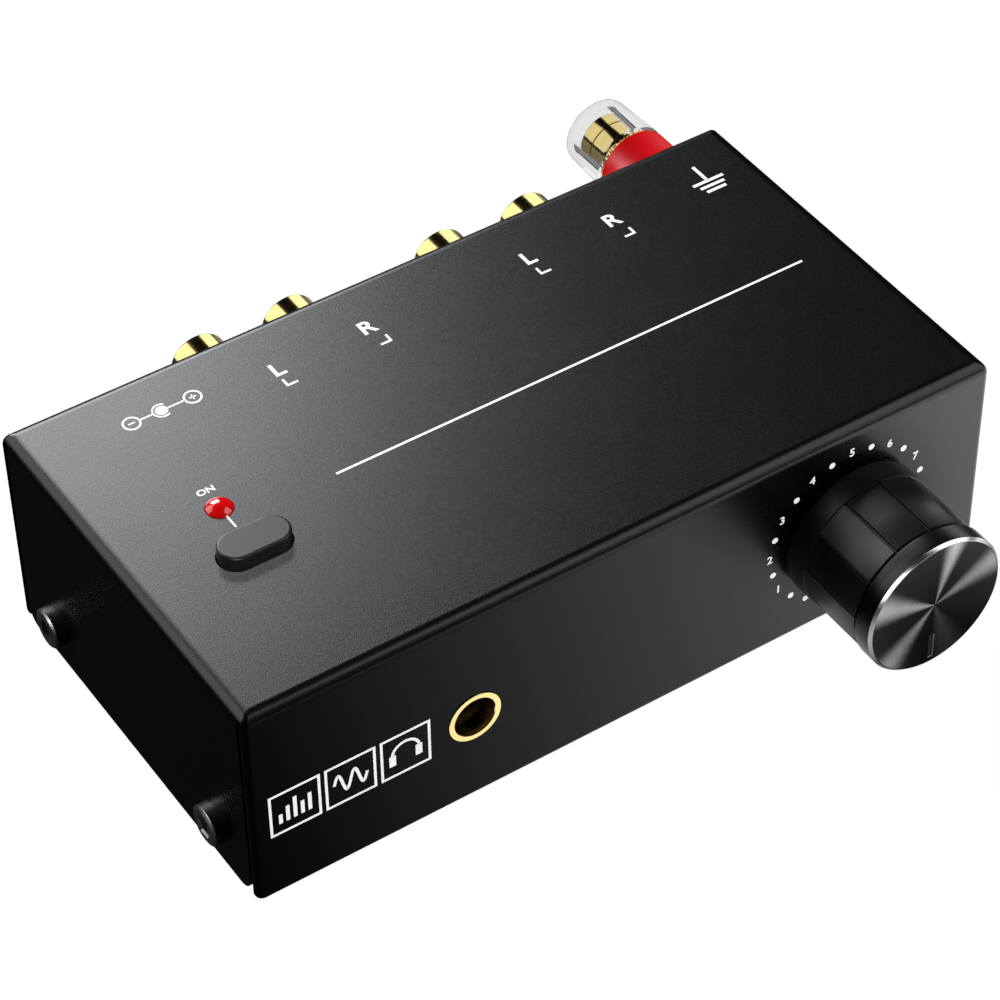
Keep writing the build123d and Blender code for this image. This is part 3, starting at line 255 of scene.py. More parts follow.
# painted steel: grain, and a slow change of tone and gloss
def paintFinish(name, dark, light, gloss, grain, depth):
    material, tree, shader = newFinish(name)
    powder = useGroup(tree, "powderGrain", Grain=grain)
    feedColour(tree, shader, addRange(tree, powder["Tone"], 0.3, 0.7), dark, light)
    feedSurface(tree, shader, powder["Height"], (0.25, 0.75), gloss, depth, [(addMarks(tree, 0.014), 0.012)])
    return material


# moulded plastic or rubber
def mouldedFinish(name, dark, light, gloss, size=9e-5, depth=6e-6):
    material, tree, shader = newFinish(name)
    skin = addSkin(tree, size)
    feedColour(tree, shader, addRange(tree, skin["Tone"], 0.35, 0.65), dark, light)
    feedSurface(tree, shader, skin["Height"], (0.3, 0.7), gloss, depth, [(addMarks(tree, 0.008), 0.05)])
    return material


# bare or plated metal: a turned piece has lathe marks on its own map, any other a fine cast or rolled grain
def metalFinish(name, dark, light, gloss, turned=False, pitch=7e-5, depth=1.5e-6, wear=None):
    material, tree, shader = newFinish(name, Metallic=1.0)
    lines = addTurnedLines(tree, pitch) if turned else addSkin(tree, pitch)
    feedColour(tree, shader, addRange(tree, lines["Tone"], 0.3, 0.7), dark, light)
    masks = [(addMarks(tree, 0.006), 0.05)]
    if wear:
        worn = useGroup(tree, "edgeWear", Width=0.00012)["Mask"]
        base = shader.inputs["Base Color"].links[0].from_socket
        tree.links.new(addMix(tree, worn, base, (*wear, 1.0)), shader.inputs["Base Color"])
        masks.append((worn, -0.12))
    feedSurface(tree, shader, lines["Height"], (0.25, 0.75), gloss, depth, masks)
    return material


def clearFinish(name, tint, rough, ior):
    material, tree, shader = newFinish(name, Transmission_Weight=1.0, IOR=ior, Roughness=rough)
    skin = addSkin(tree, 0.0012)
    feedColour(tree, shader, skin["Tone"], tuple(0.97 * part for part in tint), tint)
    feedBump(tree, shader, skin["Height"], 0.000004)
    return material


# the knob's metal front, in mm about its axis and from the panel
face = {
    "neck": 9.7, "rear": 14.6, "seamEnd": 15.0, "radius": 10.3, "front": 18.0, "bevel": 0.4,
    "lip": 0.08, "lipDepth": 0.03, "rounds": (0.0, 0.0, 0.12, 0.05, 0.04), "dish": 0.12, "markAngle": 270.0,
    "markStart": 5.3, "markEnd": 9.2, "markWidth": 0.8, "markDepth": 0.1, "markWall": 0.06,
}

# spun metal disc: painted highlights, bright sectors (angle, width and strength) of light colour about the
# knob's axis, over fine rings
spunDisc = {
    "dark": (0.027, 0.0275, 0.0285), "light": (0.95, 0.95, 0.955), "rough": (0.24, 0.33), "mark": 0.16,
    "highlightSectors": ((75, 6, 0.8), (19, 9, 0.5), (156, 9, 1.0), (225, 9, 0.75), (288, 10, 0.3)),
    "fade": 2.8, "pitch": 0.00008, "depth": 0.000002,
}

# polished bevel with a painted highlight: bright round one angle and darker away from it
bevelHighlight = {
    "dark": (0.015, 0.015, 0.0155), "light": (0.9, 0.9, 0.91), "rough": (0.16, 0.24),
    "angle": 122, "spread": (0.0, 0.6), "pitch": 0.00006, "depth": 0.0000015,
}


# a place's parts about the knob's axis, and the angle that it lies at
def aboutKnob(tree):
    sockets = {"Vector": objectVector(tree), "Location": (-knobX, 0, -knobZ)}
    parts = splitVector(tree, addNode(tree, "ShaderNodeMapping", sockets).outputs[0])
    return parts, addMath(tree, "ARCTAN2", parts["Z"], parts["X"])


def cosineFrom(tree, angle, degrees):
    return addMath(tree, "COSINE", addMath(tree, "SUBTRACT", angle, math.radians(degrees)))


def bevelHighlightFinish(name, values):
    material, tree, shader = newFinish(name, Metallic=1.0)
    _, angle = aboutKnob(tree)
    lines = addTurnedLines(tree, values["pitch"])
    # painted highlight: the bevel's colour is bright towards the given angle and dark away from it
    level = addRange(tree, cosineFrom(tree, angle, values["angle"]), *values["spread"])
    level = addMath(tree, "MULTIPLY", level, addRange(tree, lines["Tone"], 0.3, 0.7, 0.88, 1.0))
    feedColour(tree, shader, level, values["dark"], values["light"])
    feedSurface(tree, shader, lines["Height"], (0.25, 0.75), values["rough"], values["depth"])
    return material


# the disc's colour carries painted highlights, bright sectors about its axis; its shader has a tangent that
# runs round, so that its gloss is drawn out across the rings
def spunPaintedSectorsFinish(name, values):
    material, tree, shader = newFinish(name, Metallic=1.0, Anisotropic=0.75)
    parts, angle = aboutKnob(tree)
    # each bright sector is a painted highlight: a bell of light base colour about its angle
    sectorHighlight = None
    for degrees, width, strength in values["highlightSectors"]:  # a bell about each angle, by the cosine from it
        reach = math.cos(math.radians(2.4 * width))
        bell = addRange(tree, cosineFrom(tree, angle, degrees), reach, 1.0)
        bell = addMath(tree, "MULTIPLY", addMath(tree, "POWER", bell, values["fade"]), strength)
        sectorHighlight = bell if sectorHighlight is None else addMath(tree, "MAXIMUM", sectorHighlight, bell)
    lines = addTurnedLines(tree, values["pitch"])
    level = addMath(tree, "MULTIPLY", sectorHighlight, addRange(tree, lines["Height"], 0.2, 0.8, 0.75, 1.15))
    markMiddle = (face["markStart"] + face["markEnd"]) / 2
    markHalf = (face["markEnd"] - face["markStart"]) / 2
    near = addMath(tree, "COMPARE", parts["X"], 0.0, mm * face["markWidth"] / 2)
    within = addMath(tree, "COMPARE", parts["Z"], -mm * markMiddle, mm * markHalf)
    marked = addMath(tree, "MULTIPLY", near, within)
    level = addMix(tree, marked, level, (values["mark"],) * 3 + (1.0,))  # the pointer's floor is grey
    feedColour(tree, shader, level, values["dark"], values["light"])
    feedSurface(tree, shader, lines["Height"], (0.2, 0.8), values["rough"], values["depth"])
    tangent = addNode(tree, "ShaderNodeTangent", direction_type="UV_MAP", uv_map="turned")
    tree.links.new(tangent.outputs[0], shader.inputs["Tangent"])
    return material


# lamp: tinted resin with the glow of the chip inside
def lampFinish(name):
    material, tree, shader = newFinish(
        name, Specular_IOR_Level=0.6, Coat_Weight=1.0, Coat_Roughness=0.04, Emission_Strength=0.35
    )
    skin = addSkin(tree, 0.0004)
    feedColour(tree, shader, skin["Tone"], (0.62, 0.0, 0.004), (0.85, 0.004, 0.006))
    glow = addMix(tree, skin["Tone"], (0.8, 0.0, 0.0, 1), (1.0, 0.01, 0.01, 1))
    tree.links.new(glow, shader.inputs["Emission Color"])
    feedRough(tree, shader, skin["Height"], (0.3, 0.7), (0.08, 0.16))
    return material


# aluminium can with a printed sleeve, a bare top and a stripe down one side
def canFinish(name):
    material, tree, shader = newFinish(name)
    skin = addSkin(tree, 0.0002)
    facing = splitVector(tree, addNode(tree, "ShaderNodeNewGeometry").outputs["Normal"])
    top = addRange(tree, facing["Z"], 0.85, 0.95)
    stripe = addRange(tree, facing["X"], 0.86, 0.9)
    sleeve = addMix(tree, stripe, (0.012, 0.016, 0.05, 1), (0.45, 0.46, 0.5, 1))
    tree.links.new(addMix(tree, top, sleeve, (0.72, 0.73, 0.75, 1)), shader.inputs["Base Color"])
    tree.links.new(top, shader.inputs["Metallic"])
    feedSurface(tree, shader, skin["Height"], (0.3, 0.7), (0.28, 0.4), 4e-6)
    return material


# resistor body with coloured bands across its length
def resistorFinish(name):
    material, tree, shader = newFinish(name)
    skin = addSkin(tree, 0.00015)
    sockets = {"Vector": objectVector(tree), "Scale": 330.0}
    bands = addNode(tree, "ShaderNodeTexWave", sockets, bands_direction="X").outputs["Fac"]
    dark = addRange(tree, bands, 0.9, 0.94)
    body = addMix(tree, skin["Tone"], (0.06, 0.2, 0.42, 1), (0.09, 0.27, 0.5, 1))
    tree.links.new(addMix(tree, dark, body, (0.14, 0.03, 0.015, 1)), shader.inputs["Base Color"])
    feedSurface(tree, shader, skin["Height"], (0.3, 0.7), (0.3, 0.42), 6e-6)
    return material


# circuit board: green mask over copper runs, with the glass weave faintly under it
def boardFinish(name):
    material, tree, shader = newFinish(name, Coat_Weight=0.35, Coat_Roughness=0.2)
    place = objectVector(tree)
    runs = addNode(tree, "ShaderNodeTexVoronoi", {"Vector": place, "Scale": 260.0}, distance="CHEBYCHEV")
    runs = addMath(tree, "PINGPONG", runs.outputs["Distance"], 0.12)
    runs = addRange(tree, runs, 0.05, 0.06)
    threads = {"Vector": place, "Scale": 900.0}
    weave = addNode(tree, "ShaderNodeTexWave", threads, bands_direction="DIAGONAL").outputs["Fac"]
    bare = addMix(tree, weave, (0.006, 0.055, 0.02, 1), (0.008, 0.065, 0.026, 1))
    tree.links.new(addMix(tree, runs, bare, (0.02, 0.12, 0.045, 1)), shader.inputs["Base Color"])
    feedRough(tree, shader, weave, (0.0, 1.0), (0.32, 0.4))
    feedBump(tree, shader, runs, 0.00002, 0.6)
    return material


gold = ((1.0, 0.76, 0.27), (1.0, 0.83, 0.38))
mouldedLooks = {  # slot: name, dark and light tone, gloss, and where it is its own, grain size and depth
    "foot_rubber": ("footRubber", (0.014, 0.014, 0.014), (0.024, 0.024, 0.023), (0.7, 0.85), 2.5e-4, 2e-5),
    "pot_plastic": ("controlBody", (0.016, 0.03, 0.055), (0.02, 0.038, 0.068), (0.4, 0.52)),
    "knob_black": ("knobBlack", (0.0025, 0.0025, 0.003), (0.004, 0.004, 0.0045), (0.3, 0.38), 7e-5, 2e-6),
    "socket_black": ("socketBlack", (0.01, 0.01, 0.011), (0.016, 0.016, 0.017), (0.45, 0.58)),
    "plunger_white": ("plungerWhite", (0.66, 0.66, 0.64), (0.74, 0.74, 0.72), (0.35, 0.45)),
    "button_plastic": (
        "buttonPlastic", (0.012, 0.0122, 0.013), (0.017, 0.0173, 0.018), (0.31, 0.37), 6e-5, 2e-6,
    ),
    "spacer_nylon": ("spacerNylon", (0.6, 0.6, 0.57), (0.7, 0.7, 0.67), (0.4, 0.5)),
    "insulator_white": ("insulatorWhite", (0.66, 0.66, 0.64), (0.76, 0.76, 0.74), (0.28, 0.38)),
    "insulator_red": ("insulatorRed", (0.42, 0.012, 0.014), (0.5, 0.018, 0.02), (0.26, 0.36)),
    "collar_red": ("collarRed", (0.62, 0.002, 0.006), (0.7, 0.004, 0.01), (0.3, 0.36), 2e-4, 2e-6),
    "wire_green": ("wireGreen", (0.02, 0.16, 0.03), (0.03, 0.2, 0.04), (0.4, 0.5)),
    "chip_black": ("chipBlack", (0.014, 0.014, 0.014), (0.022, 0.022, 0.022), (0.5, 0.65), 1.2e-4, 1e-5),
    "film_red": ("filmRed", (0.36, 0.03, 0.02), (0.44, 0.045, 0.03), (0.3, 0.42)),
    "print": ("printWhite", (0.8, 0.8, 0.8), (0.86, 0.86, 0.85), (0.42, 0.55), 5e-5, 1e-6),
}
metalLooks = {  # slot: name, dark and light tone, gloss, and what else is its own
    "screw_black": (
        "blackScrew", (0.14, 0.14, 0.145), (0.19, 0.19, 0.195), (0.33, 0.41), {"wear": (0.4, 0.4, 0.41)},
    ),
    "screw_steel": (
        "zincScrew", (0.55, 0.56, 0.57), (0.68, 0.69, 0.68), (0.22, 0.34), {"wear": (0.8, 0.8, 0.8)},
    ),
    "standoff_brass": ("brassStandoff", (0.62, 0.42, 0.16), (0.72, 0.52, 0.22), (0.25, 0.38), {}),
    "bush_metal": ("nickelBush", (0.58, 0.56, 0.52), (0.7, 0.68, 0.63), (0.18, 0.3), {}),
    "tinned_metal": ("tinnedBrass", (0.62, 0.62, 0.6), (0.75, 0.75, 0.72), (0.25, 0.45), {"pitch": 3e-4}),
    "shaft_steel": ("controlShaft", (0.5, 0.5, 0.5), (0.62, 0.62, 0.61), (0.26, 0.38), {}),
    "spring_steel": ("springSteel", (0.52, 0.52, 0.52), (0.64, 0.64, 0.63), (0.2, 0.3), {}),
    "gilt": ("giltTurned", *gold, (0.07, 0.16), {"turned": True, "pitch": 9e-5, "depth": 1e-6}),
    "gilt_plain": ("giltPlain", *gold, (0.08, 0.18), {}),
    "knob_side": ("knobSide", (0.03, 0.03, 0.032), (0.042, 0.042, 0.044), (0.26, 0.34), {"turned": True}),
}
finishes = {
    "case_paint": paintFinish(
        "casePaint", (0.0022, 0.0023, 0.0028), (0.0036, 0.0038, 0.0044), (0.29, 0.24), 2e-4, 5e-6
    ),
    "tray_paint": paintFinish(
        "trayPaint", (0.011, 0.011, 0.012), (0.018, 0.018, 0.019), (0.55, 0.45), 2.2e-4, 1.5e-5
    ),
    "knob_metal": spunPaintedSectorsFinish("knobSpun", spunDisc), "knob_edge": bevelHighlightFinish("knobEdge", bevelHighlight),
    "lamp_red": lampFinish("lampRed"), "cap_clear": clearFinish("capClear", (0.76, 0.76, 0.765), 0.04, 1.12),
    "can_sleeve": canFinish("canSleeve"), "resistor_blue": resistorFinish("resistorBlue"),
    "board_green": boardFinish("boardGreen"),
}
finishes.update((slot, mouldedFinish(*look)) for slot, look in mouldedLooks.items())
finishes.update((slot, metalFinish(*look[:4], **look[4])) for slot, look in metalLooks.items())

# a CAD node has no map of its own, so its gilt is the plain one
for node, item in nodes.items():
    finish = finishes["gilt_plain" if slotOf[node] == "gilt" else slotOf[node]]
    for number in range(len(item.material_slots)):
        item.material_slots[number].material = finish
print("finishes:", len(bpy.data.materials))


def newObject(name, data):
    item = bpy.data.objects.new(name, data)
    bpy.context.scene.collection.objects.link(item)
    return item


# Meshes: a grid of points[i, j] joined to its neighbours, mapped by the way along its rows
def gridMesh(name, points, bands=None):
    rows, columns = points.shape[:2]
    index = np.arange(rows * columns).reshape(rows, columns)
    faces = np.stack([index[:-1, :-1], index[:-1, 1:], index[1:, 1:], index[1:, :-1]], -1).reshape(-1, 4)
    steps = np.linalg.norm(np.diff(points, axis=0), axis=2).max(axis=1)
    along = np.broadcast_to(np.concatenate([[0.0], np.cumsum(steps)])[:, None], (rows, columns))
    across = np.broadcast_to(np.linspace(0.0, 1.0, columns)[None, :], (rows, columns))
    mesh = bpy.data.meshes.new(name)
    mesh.from_pydata(points.reshape(-1, 3).tolist(), [], faces.tolist())
    chart = np.stack([across.ravel()[faces.ravel()], along.ravel()[faces.ravel()]], 1)
    mesh.uv_layers.new(name="turned").data.foreach_set("uv", chart.ravel())
    if bands is not None:  # a material number for each row of faces
        numbers = np.repeat(np.array(bands), columns - 1).astype(np.int32)
        mesh.polygons.foreach_set("material_index", numbers)
    return mesh


def weld(mesh, reach=2e-7):
    work = bmesh.new()
    work.from_mesh(mesh)
    bmesh.ops.remove_doubles(work, verts=work.verts, dist=reach)
    bmesh.ops.dissolve_degenerate(work, edges=work.edges, dist=reach)
    bmesh.ops.recalc_face_normals(work, faces=work.faces)
    work.to_mesh(mesh)
    work.free()


# a grid welded along its seam and at its poles
def closedMesh(name, points, bands=None):
    mesh = gridMesh(name, points, bands)
    weld(mesh)
    return mesh


def joinMeshes(name, meshes):
    work = bmesh.new()
    for mesh in meshes:
        work.from_mesh(mesh)
    joined = bpy.data.meshes.new(name)
    work.to_mesh(joined)
    work.free()
    return joined


def addPiece(name, mesh, body, slot, replaced=(), sharp=32.0, materials=None):
    for material in materials or [finishes[slot]]:
        mesh.materials.append(material)
    mesh.shade_smooth()
    mesh.set_sharp_from_angle(angle=math.radians(sharp))
    item = newObject(name, mesh)
    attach(item, body)
    if replaced:
        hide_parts(*replaced)
    return item


# a corner at p between its neighbours becomes (1-s)²·a + 2s(1-s)·p + s²·b, where a and b lie `cut` from p
def soften(corners, cuts, steps=6):
    corners = np.array(corners, float)
    cuts = np.broadcast_to(np.array(cuts, float), (len(corners) - 2,))
    before, at, after = corners[:-2], corners[1:-1], corners[2:]
    into, out = before - at, after - at
    intoLength = np.linalg.norm(into, axis=1)
    outLength = np.linalg.norm(out, axis=1)
    cut = np.minimum(cuts, 0.49 * np.minimum(intoLength, outLength))[:, None]
    start = at + into / intoLength[:, None] * cut
    end = at + out / outLength[:, None] * cut
    s = np.linspace(0.0, 1.0, steps)[None, :, None]
    curve = (1 - s) ** 2 * start[:, None] + 2 * s * (1 - s) * at[:, None] + s**2 * end[:, None]
    return np.concatenate([corners[:1], curve.reshape(-1, 2), corners[-1:]])


# a row of one point is put before and after the rows of a strip, so that both its ends close
def closeEnds(rows):
    ends = [np.broadcast_to(rows[i, :4].mean(0), (1, 5, 3)) for i in (0, -1)]
    return np.concatenate([ends[0], rows, ends[1]])


# a turned piece stands out of the front or the rear panel
axes = {"front": (0, -1, 0), "rear": (0, 1, 0)}


# radius r and distance d along the axis, in mm, at angle t: centre + r·(cos t·across + sin t·up) + d·axis
def turnPoints(radii, distances, angles, centre, facing):
    across, up, axis = np.array([(1, 0, 0), (0, 0, 1), axes[facing]])
    outward = np.cos(angles)[..., None] * across + np.sin(angles)[..., None] * up
    return np.array(centre) + mm * (radii[..., None] * outward + distances[..., None] * axis)


# a profile of radii and distances, turned once round the axis
def turnedMesh(name, profile, centre, facing, steps=128):
    angles = np.linspace(0.0, 2 * math.pi, steps + 1)
    radii, turn = np.meshgrid(profile[:, 0], angles, indexing="ij")
    distances = np.broadcast_to(profile[:, 1][:, None], radii.shape)
    return closedMesh(name, turnPoints(radii, distances, turn, centre, facing))


# Knob grip: a round skirt that steps down to twelve flats with a groove between each two, hollow behind
grip = {
    "radius": 10.3, "rear": 1.0, "skirtEnd": 4.4, "skirtRound": 0.35, "skirtBack": 0.4, "step": 0.03,
    "front": 14.6, "middle": 9.5,
    "flats": 12, "turn": 25.0, "cornerRadius": 10.2, "flatness": 0.5, "grooveWidth": 0.3, "grooveDepth": 0.4,
    "cavity": 8.4, "web": 12.6, "hub": 4.7, "hubStart": 5.7, "bore": 3.05, "boreFlat": 1.55, "boreEnd": 13.8,
    "ribs": 6, "ribWidth": 1.0, "ribStart": 6.7, "ribSunk": (0.2, 0.1),
    "grooveSteps": (0.2, 0.5, 0.75, 0.9, 1.0, 1.1, 1.25, 1.5, 1.9),  # in half widths, from its middle
    "frontEdge": ((0.25, 0.0), (0.09, 0.05), (0.0, 0.22)),  # distance behind the front and inset
}
knobCentre = (knobX, frontY, knobZ)


# radius at angle t: a flat is apothem / cos(t - its middle), brought part of the way back to the round, and a
# groove takes a smooth trench out of it
def gripRadius(angles, values):
    sector = 2 * math.pi / values["flats"]
    fromGroove = (angles - math.radians(values["turn"]) + sector / 2) % sector - sector / 2
    apothem = values["cornerRadius"] * math.cos(sector / 2)
    flat = apothem / np.cos(sector / 2 - np.abs(fromGroove))
    flat = values["cornerRadius"] + values["flatness"] * (flat - values["cornerRadius"])
    reach = np.abs(fromGroove) * values["cornerRadius"] / (values["grooveWidth"] / 2)
    return flat - values["grooveDepth"] / (1 + reach**8)


# angles that lie close together about each groove and wide apart on the flats
def gripAngles(values):
    sector = 2 * math.pi / values["flats"]
    near = np.array(values["grooveSteps"]) * values["grooveWidth"] / 2 / values["radius"]
    half = np.concatenate([[0.0], near, np.linspace(2.6 * near[4], sector / 2, 9)])
    local = np.concatenate([-half[:0:-1], half])[:-1]
    middles = math.radians(values["turn"]) + np.arange(values["flats"])[:, None] * sector
    angles = (middles + local[None, :]).ravel()
    return np.concatenate([angles, [angles[0] + 2 * math.pi]])


# rows of radii round the knob, each row at its own distance from the panel
def knobRows(name, radii, distances, angles):
    radii = np.stack([np.broadcast_to(row, len(angles)) for row in radii])
    distances = np.broadcast_to(np.array(distances)[:, None], radii.shape)
    turn = np.broadcast_to(angles, radii.shape)
    return gridMesh(name, turnPoints(radii, distances, turn, knobCentre, "front"))


def gripMesh():
    g = grip
    angles = gripAngles(g)
    skirt = soften(
        [(g["cavity"], g["rear"]), (g["radius"], g["rear"]), (g["radius"], g["skirtEnd"]),
         (g["radius"], g["skirtEnd"] + g["skirtBack"])],
        [g["skirtRound"], 0.0],
    )[:-1]
    flats = [(g["skirtEnd"] + g["step"], 0.0), (g["skirtEnd"] + 1.0, 0.0), (g["middle"], 0.0)]
    flats += [(g["front"] - behind, inset) for behind, inset in g["frontEdge"]]
    radii = [*skirt[:, 0], *(gripRadius(angles, g) - inset for _, inset in flats), g["bore"] * 0.02, 0.0]
    distances = [*skirt[:, 1], *(distance for distance, _ in flats), g["front"], g["front"]]
    bore = np.minimum(g["bore"], g["boreFlat"] / np.maximum(np.sin(angles), 0.01))  # round but for its flat
    hollow = [  # the bore from its closed end, then the hub and the hollow round it
        (0.0, g["boreEnd"]), (bore, g["boreEnd"]), (bore, g["hubStart"]), (g["hub"], g["hubStart"]),
        (g["hub"], g["web"]), (g["cavity"], g["web"]), (g["cavity"], g["rear"]),
    ]
    outside = knobRows("gripFront", radii, distances, angles)
    mesh = joinMeshes("knobGrip", [outside, knobRows("gripBack", *zip(*hollow), angles)])
    weld(mesh)
    return mesh


# rib k: a slab from the hub to the wall at angle 2πk/n, as the four sides of a rectangle carried forward
def ribMesh():
    g = grip
    start, end, half = g["hub"] - g["ribSunk"][0], g["cavity"] + g["ribSunk"][0], g["ribWidth"] / 2
    corners = np.array([(start, -half), (end, -half), (end, half), (start, half), (start, -half)])
    y = frontY - mm * np.array([[g["ribStart"]], [g["web"] + g["ribSunk"][1]]])
    parts = []
    for k in range(g["ribs"]):
        turn = 2 * math.pi * k / g["ribs"]
        x = corners[:, 0] * math.cos(turn) - corners[:, 1] * math.sin(turn)
        z = corners[:, 0] * math.sin(turn) + corners[:, 1] * math.cos(turn)
        rows = np.stack(np.broadcast_arrays(knobX + mm * x, y, knobZ + mm * z), -1)
        parts.append(closedMesh("rib", closeEnds(rows)))
    return joinMeshes("knobRibs", parts)


addPiece("knobGrip", gripMesh(), "knob", "knob_black", ["knob_body"], sharp=28)
addPiece("knobRibs", ribMesh(), "knob", "knob_black")


# Knob face: a turned collar, a polished bevel and a spun disc with the pointer cut into it
# disc depth at (x, z): dish·(1 - (r/R)²) plus the mark's depth where |x| and r lie inside the mark
def faceMesh():
    f = face
    rim = f["radius"] - f["bevel"]
    discRim, discFront = rim - f["lip"], f["front"] - f["lipDepth"]
    side = soften(
        [(0.0, f["rear"]), (f["neck"], f["rear"]), (f["neck"], f["seamEnd"]), (f["radius"], f["seamEnd"]),
         (f["radius"], f["front"] - f["bevel"]), (rim, f["front"]), (discRim, discFront)],
        f["rounds"],
    )
    fine = np.arange(-0.15, 0.151, 0.05)  # steps across both ends of the mark
    disc = np.concatenate([
        np.linspace(discRim, f["markEnd"] + 0.2, 4), f["markEnd"] - fine,
        np.linspace(f["markEnd"] - 0.4, f["markStart"] + 0.3, 9), f["markStart"] - fine,
        np.linspace(f["markStart"] - 0.3, 0.0, 12),
    ])
    close = np.radians(np.linspace(-6.5, 6.5, 53))
    wide = np.linspace(close[-1], 2 * math.pi + close[0], 150)[1:]
    angles = math.radians(f["markAngle"]) + np.concatenate([close, wide])
    radii, turn = np.meshgrid(np.concatenate([side[:, 0], disc]), angles, indexing="ij")
    distances = np.concatenate([side[:, 1], np.full(len(disc), discFront)])[:, None]
    x, z = radii * np.cos(turn), radii * np.sin(turn)
    wall = f["markWall"]
    mark = np.clip((f["markWidth"] / 2 - np.abs(x)) / wall + 0.5, 0, 1) * (z < 0)
    mark *= np.clip((radii - f["markStart"]) / wall + 0.5, 0, 1)
    mark *= np.clip((f["markEnd"] - radii) / wall + 0.5, 0, 1)
    onDisc = np.arange(len(radii))[:, None] >= len(side)
    distances = distances - onDisc * (f["dish"] * (1 - (radii / rim) ** 2) + f["markDepth"] * mark)
    bands = np.zeros(len(radii) - 1, int)
    bands[:len(side)] = 2
    bands[:int(np.argmax(side[:, 1] > f["front"] - f["bevel"] - 0.01))] = 1
    return closedMesh("knobFace", turnPoints(radii, distances, turn, knobCentre, "front"), bands)


faceFinishes = [finishes[look] for look in ("knob_metal", "knob_side", "knob_edge")]
addPiece("knobFace", faceMesh(), "knob", "knob_metal", ["knob_cap"], sharp=24, materials=faceFinishes)
print("knob made")

# Signal jacks: turned shells with a thin bright edge, each with an earth tab that starts in its flange
jack = {
    "reach": 12.8, "radius": 4.15, "wall": 0.5, "flange": 5.0, "flangeProud": 0.6, "sheet": 1.0,
    "rounds": (0.0, 0.15, 0.12, 0.28, 0.12),
    "tab": (-0.5, 2.6, 2.75), "tabDrop": 0.2, "tabThick": 0.4, "tabWidth": 2.6, "legWidth": 0.6,
}


def shellMesh(name, low, high):
    j = jack
    inner = j["radius"] - j["wall"]
    profile = soften(
        [(inner, -j["sheet"]), (j["flange"], -j["sheet"]), (j["flange"], j["flangeProud"]),
         (j["radius"], j["flangeProud"]), (j["radius"], j["reach"]), (inner, j["reach"]),
         (inner, -j["sheet"])],
        j["rounds"],
    )
    return turnedMesh(name, profile, ((low.x + high.x) / 2, rearY, high.z - j["flange"] * mm), "rear")


# the shell's folded earth tab: a strip back from the panel and a leg down, as one bent ribbon with thickness
def tabMesh(name, low, high):
    j = jack
    x = (low.x + high.x) / 2
    z = high.z - j["flange"] * mm - mm * (j["radius"] - j["wall"] + j["flange"]) / 2
    start, bend, leg = (rearY - mm * j["sheet"] - mm * reach for reach in j["tab"])
    line = np.array([(start, z), (bend, z), (leg, z - mm * j["tabDrop"]), (leg, low.z)])
    away = np.array([(0, 1), (-0.4, 1), (-1, 0.3), (-1, 0)]) * mm * j["tabThick"] / 2
    widths = mm * np.array([j["tabWidth"], j["tabWidth"], j["legWidth"], j["legWidth"]]) / 2
    rows = np.stack([
        np.stack([x + sideways * widths, line[:, 0] + lift * away[:, 0], line[:, 1] + lift * away[:, 1]], 1)
        for sideways, lift in ((-1, 1), (1, 1), (1, -1), (-1, -1), (-1, 1))
    ], 1)
    return closedMesh(name, closeEnds(rows))


for pair in ("output", "input"):
    for side in ("left", "right"):
        node = f"rca_shell_{pair}_{side}"
        mesh = joinMeshes(node, [shellMesh("shell", *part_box(node)), tabMesh("tab", *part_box(node))])
        addPiece(f"jackShell{pair.title()}{side.title()}", mesh, "case", "gilt", [node])

# Headphone ring: a flat gilt rim with a small lead-in to its mouth
ring = {
    "radius": 3.77, "mouth": 2.9, "proud": 0.15, "seat": 3.2, "leadIn": 0.12, "dish": 0.2,
    "rounds": (0.05, 0.1, 0.05, 0.05),
}
ringProfile = soften(
    [(ring["mouth"], -ring["seat"]), (ring["radius"], -ring["seat"]), (ring["radius"], ring["proud"]),
     (ring["mouth"] + ring["leadIn"], ring["proud"]), (ring["mouth"], ring["proud"] - ring["dish"]),
     (ring["mouth"], -ring["seat"])],
    ring["rounds"],
)
ringMesh = turnedMesh("headphoneRing", ringProfile, (ringX, frontY, ringZ), "front")
addPiece("headphoneRing", ringMesh, "case", "gilt", ["headphone_ring"])

# Ground post: red collar on the panel, gilt thimble and clear sleeve on its screw cap
post = {
    "collar": 5.48, "collarLength": 7.3, "shoulder": 3.6, "bore": 2.65, "tailBore": 2.05, "ledge": 1.0,
    "capStart": 8.0, "thimble": 3.3, "thimbleFlange": 4.3, "flangeEnd": 9.0, "thimbleEnd": 14.8,
    "line": 12.5, "lineDepth": 0.1, "fit": 0.05, "sleeveEnd": 16.4, "sleeveEndRadius": 5.15,
}


def addPostPiece(name, corners, cuts, body, slot, node, steps=128):
    mesh = turnedMesh(name, soften(corners, cuts), (postX, rearY, postZ), "rear", steps)
    addPiece(name, mesh, body, slot, [node])


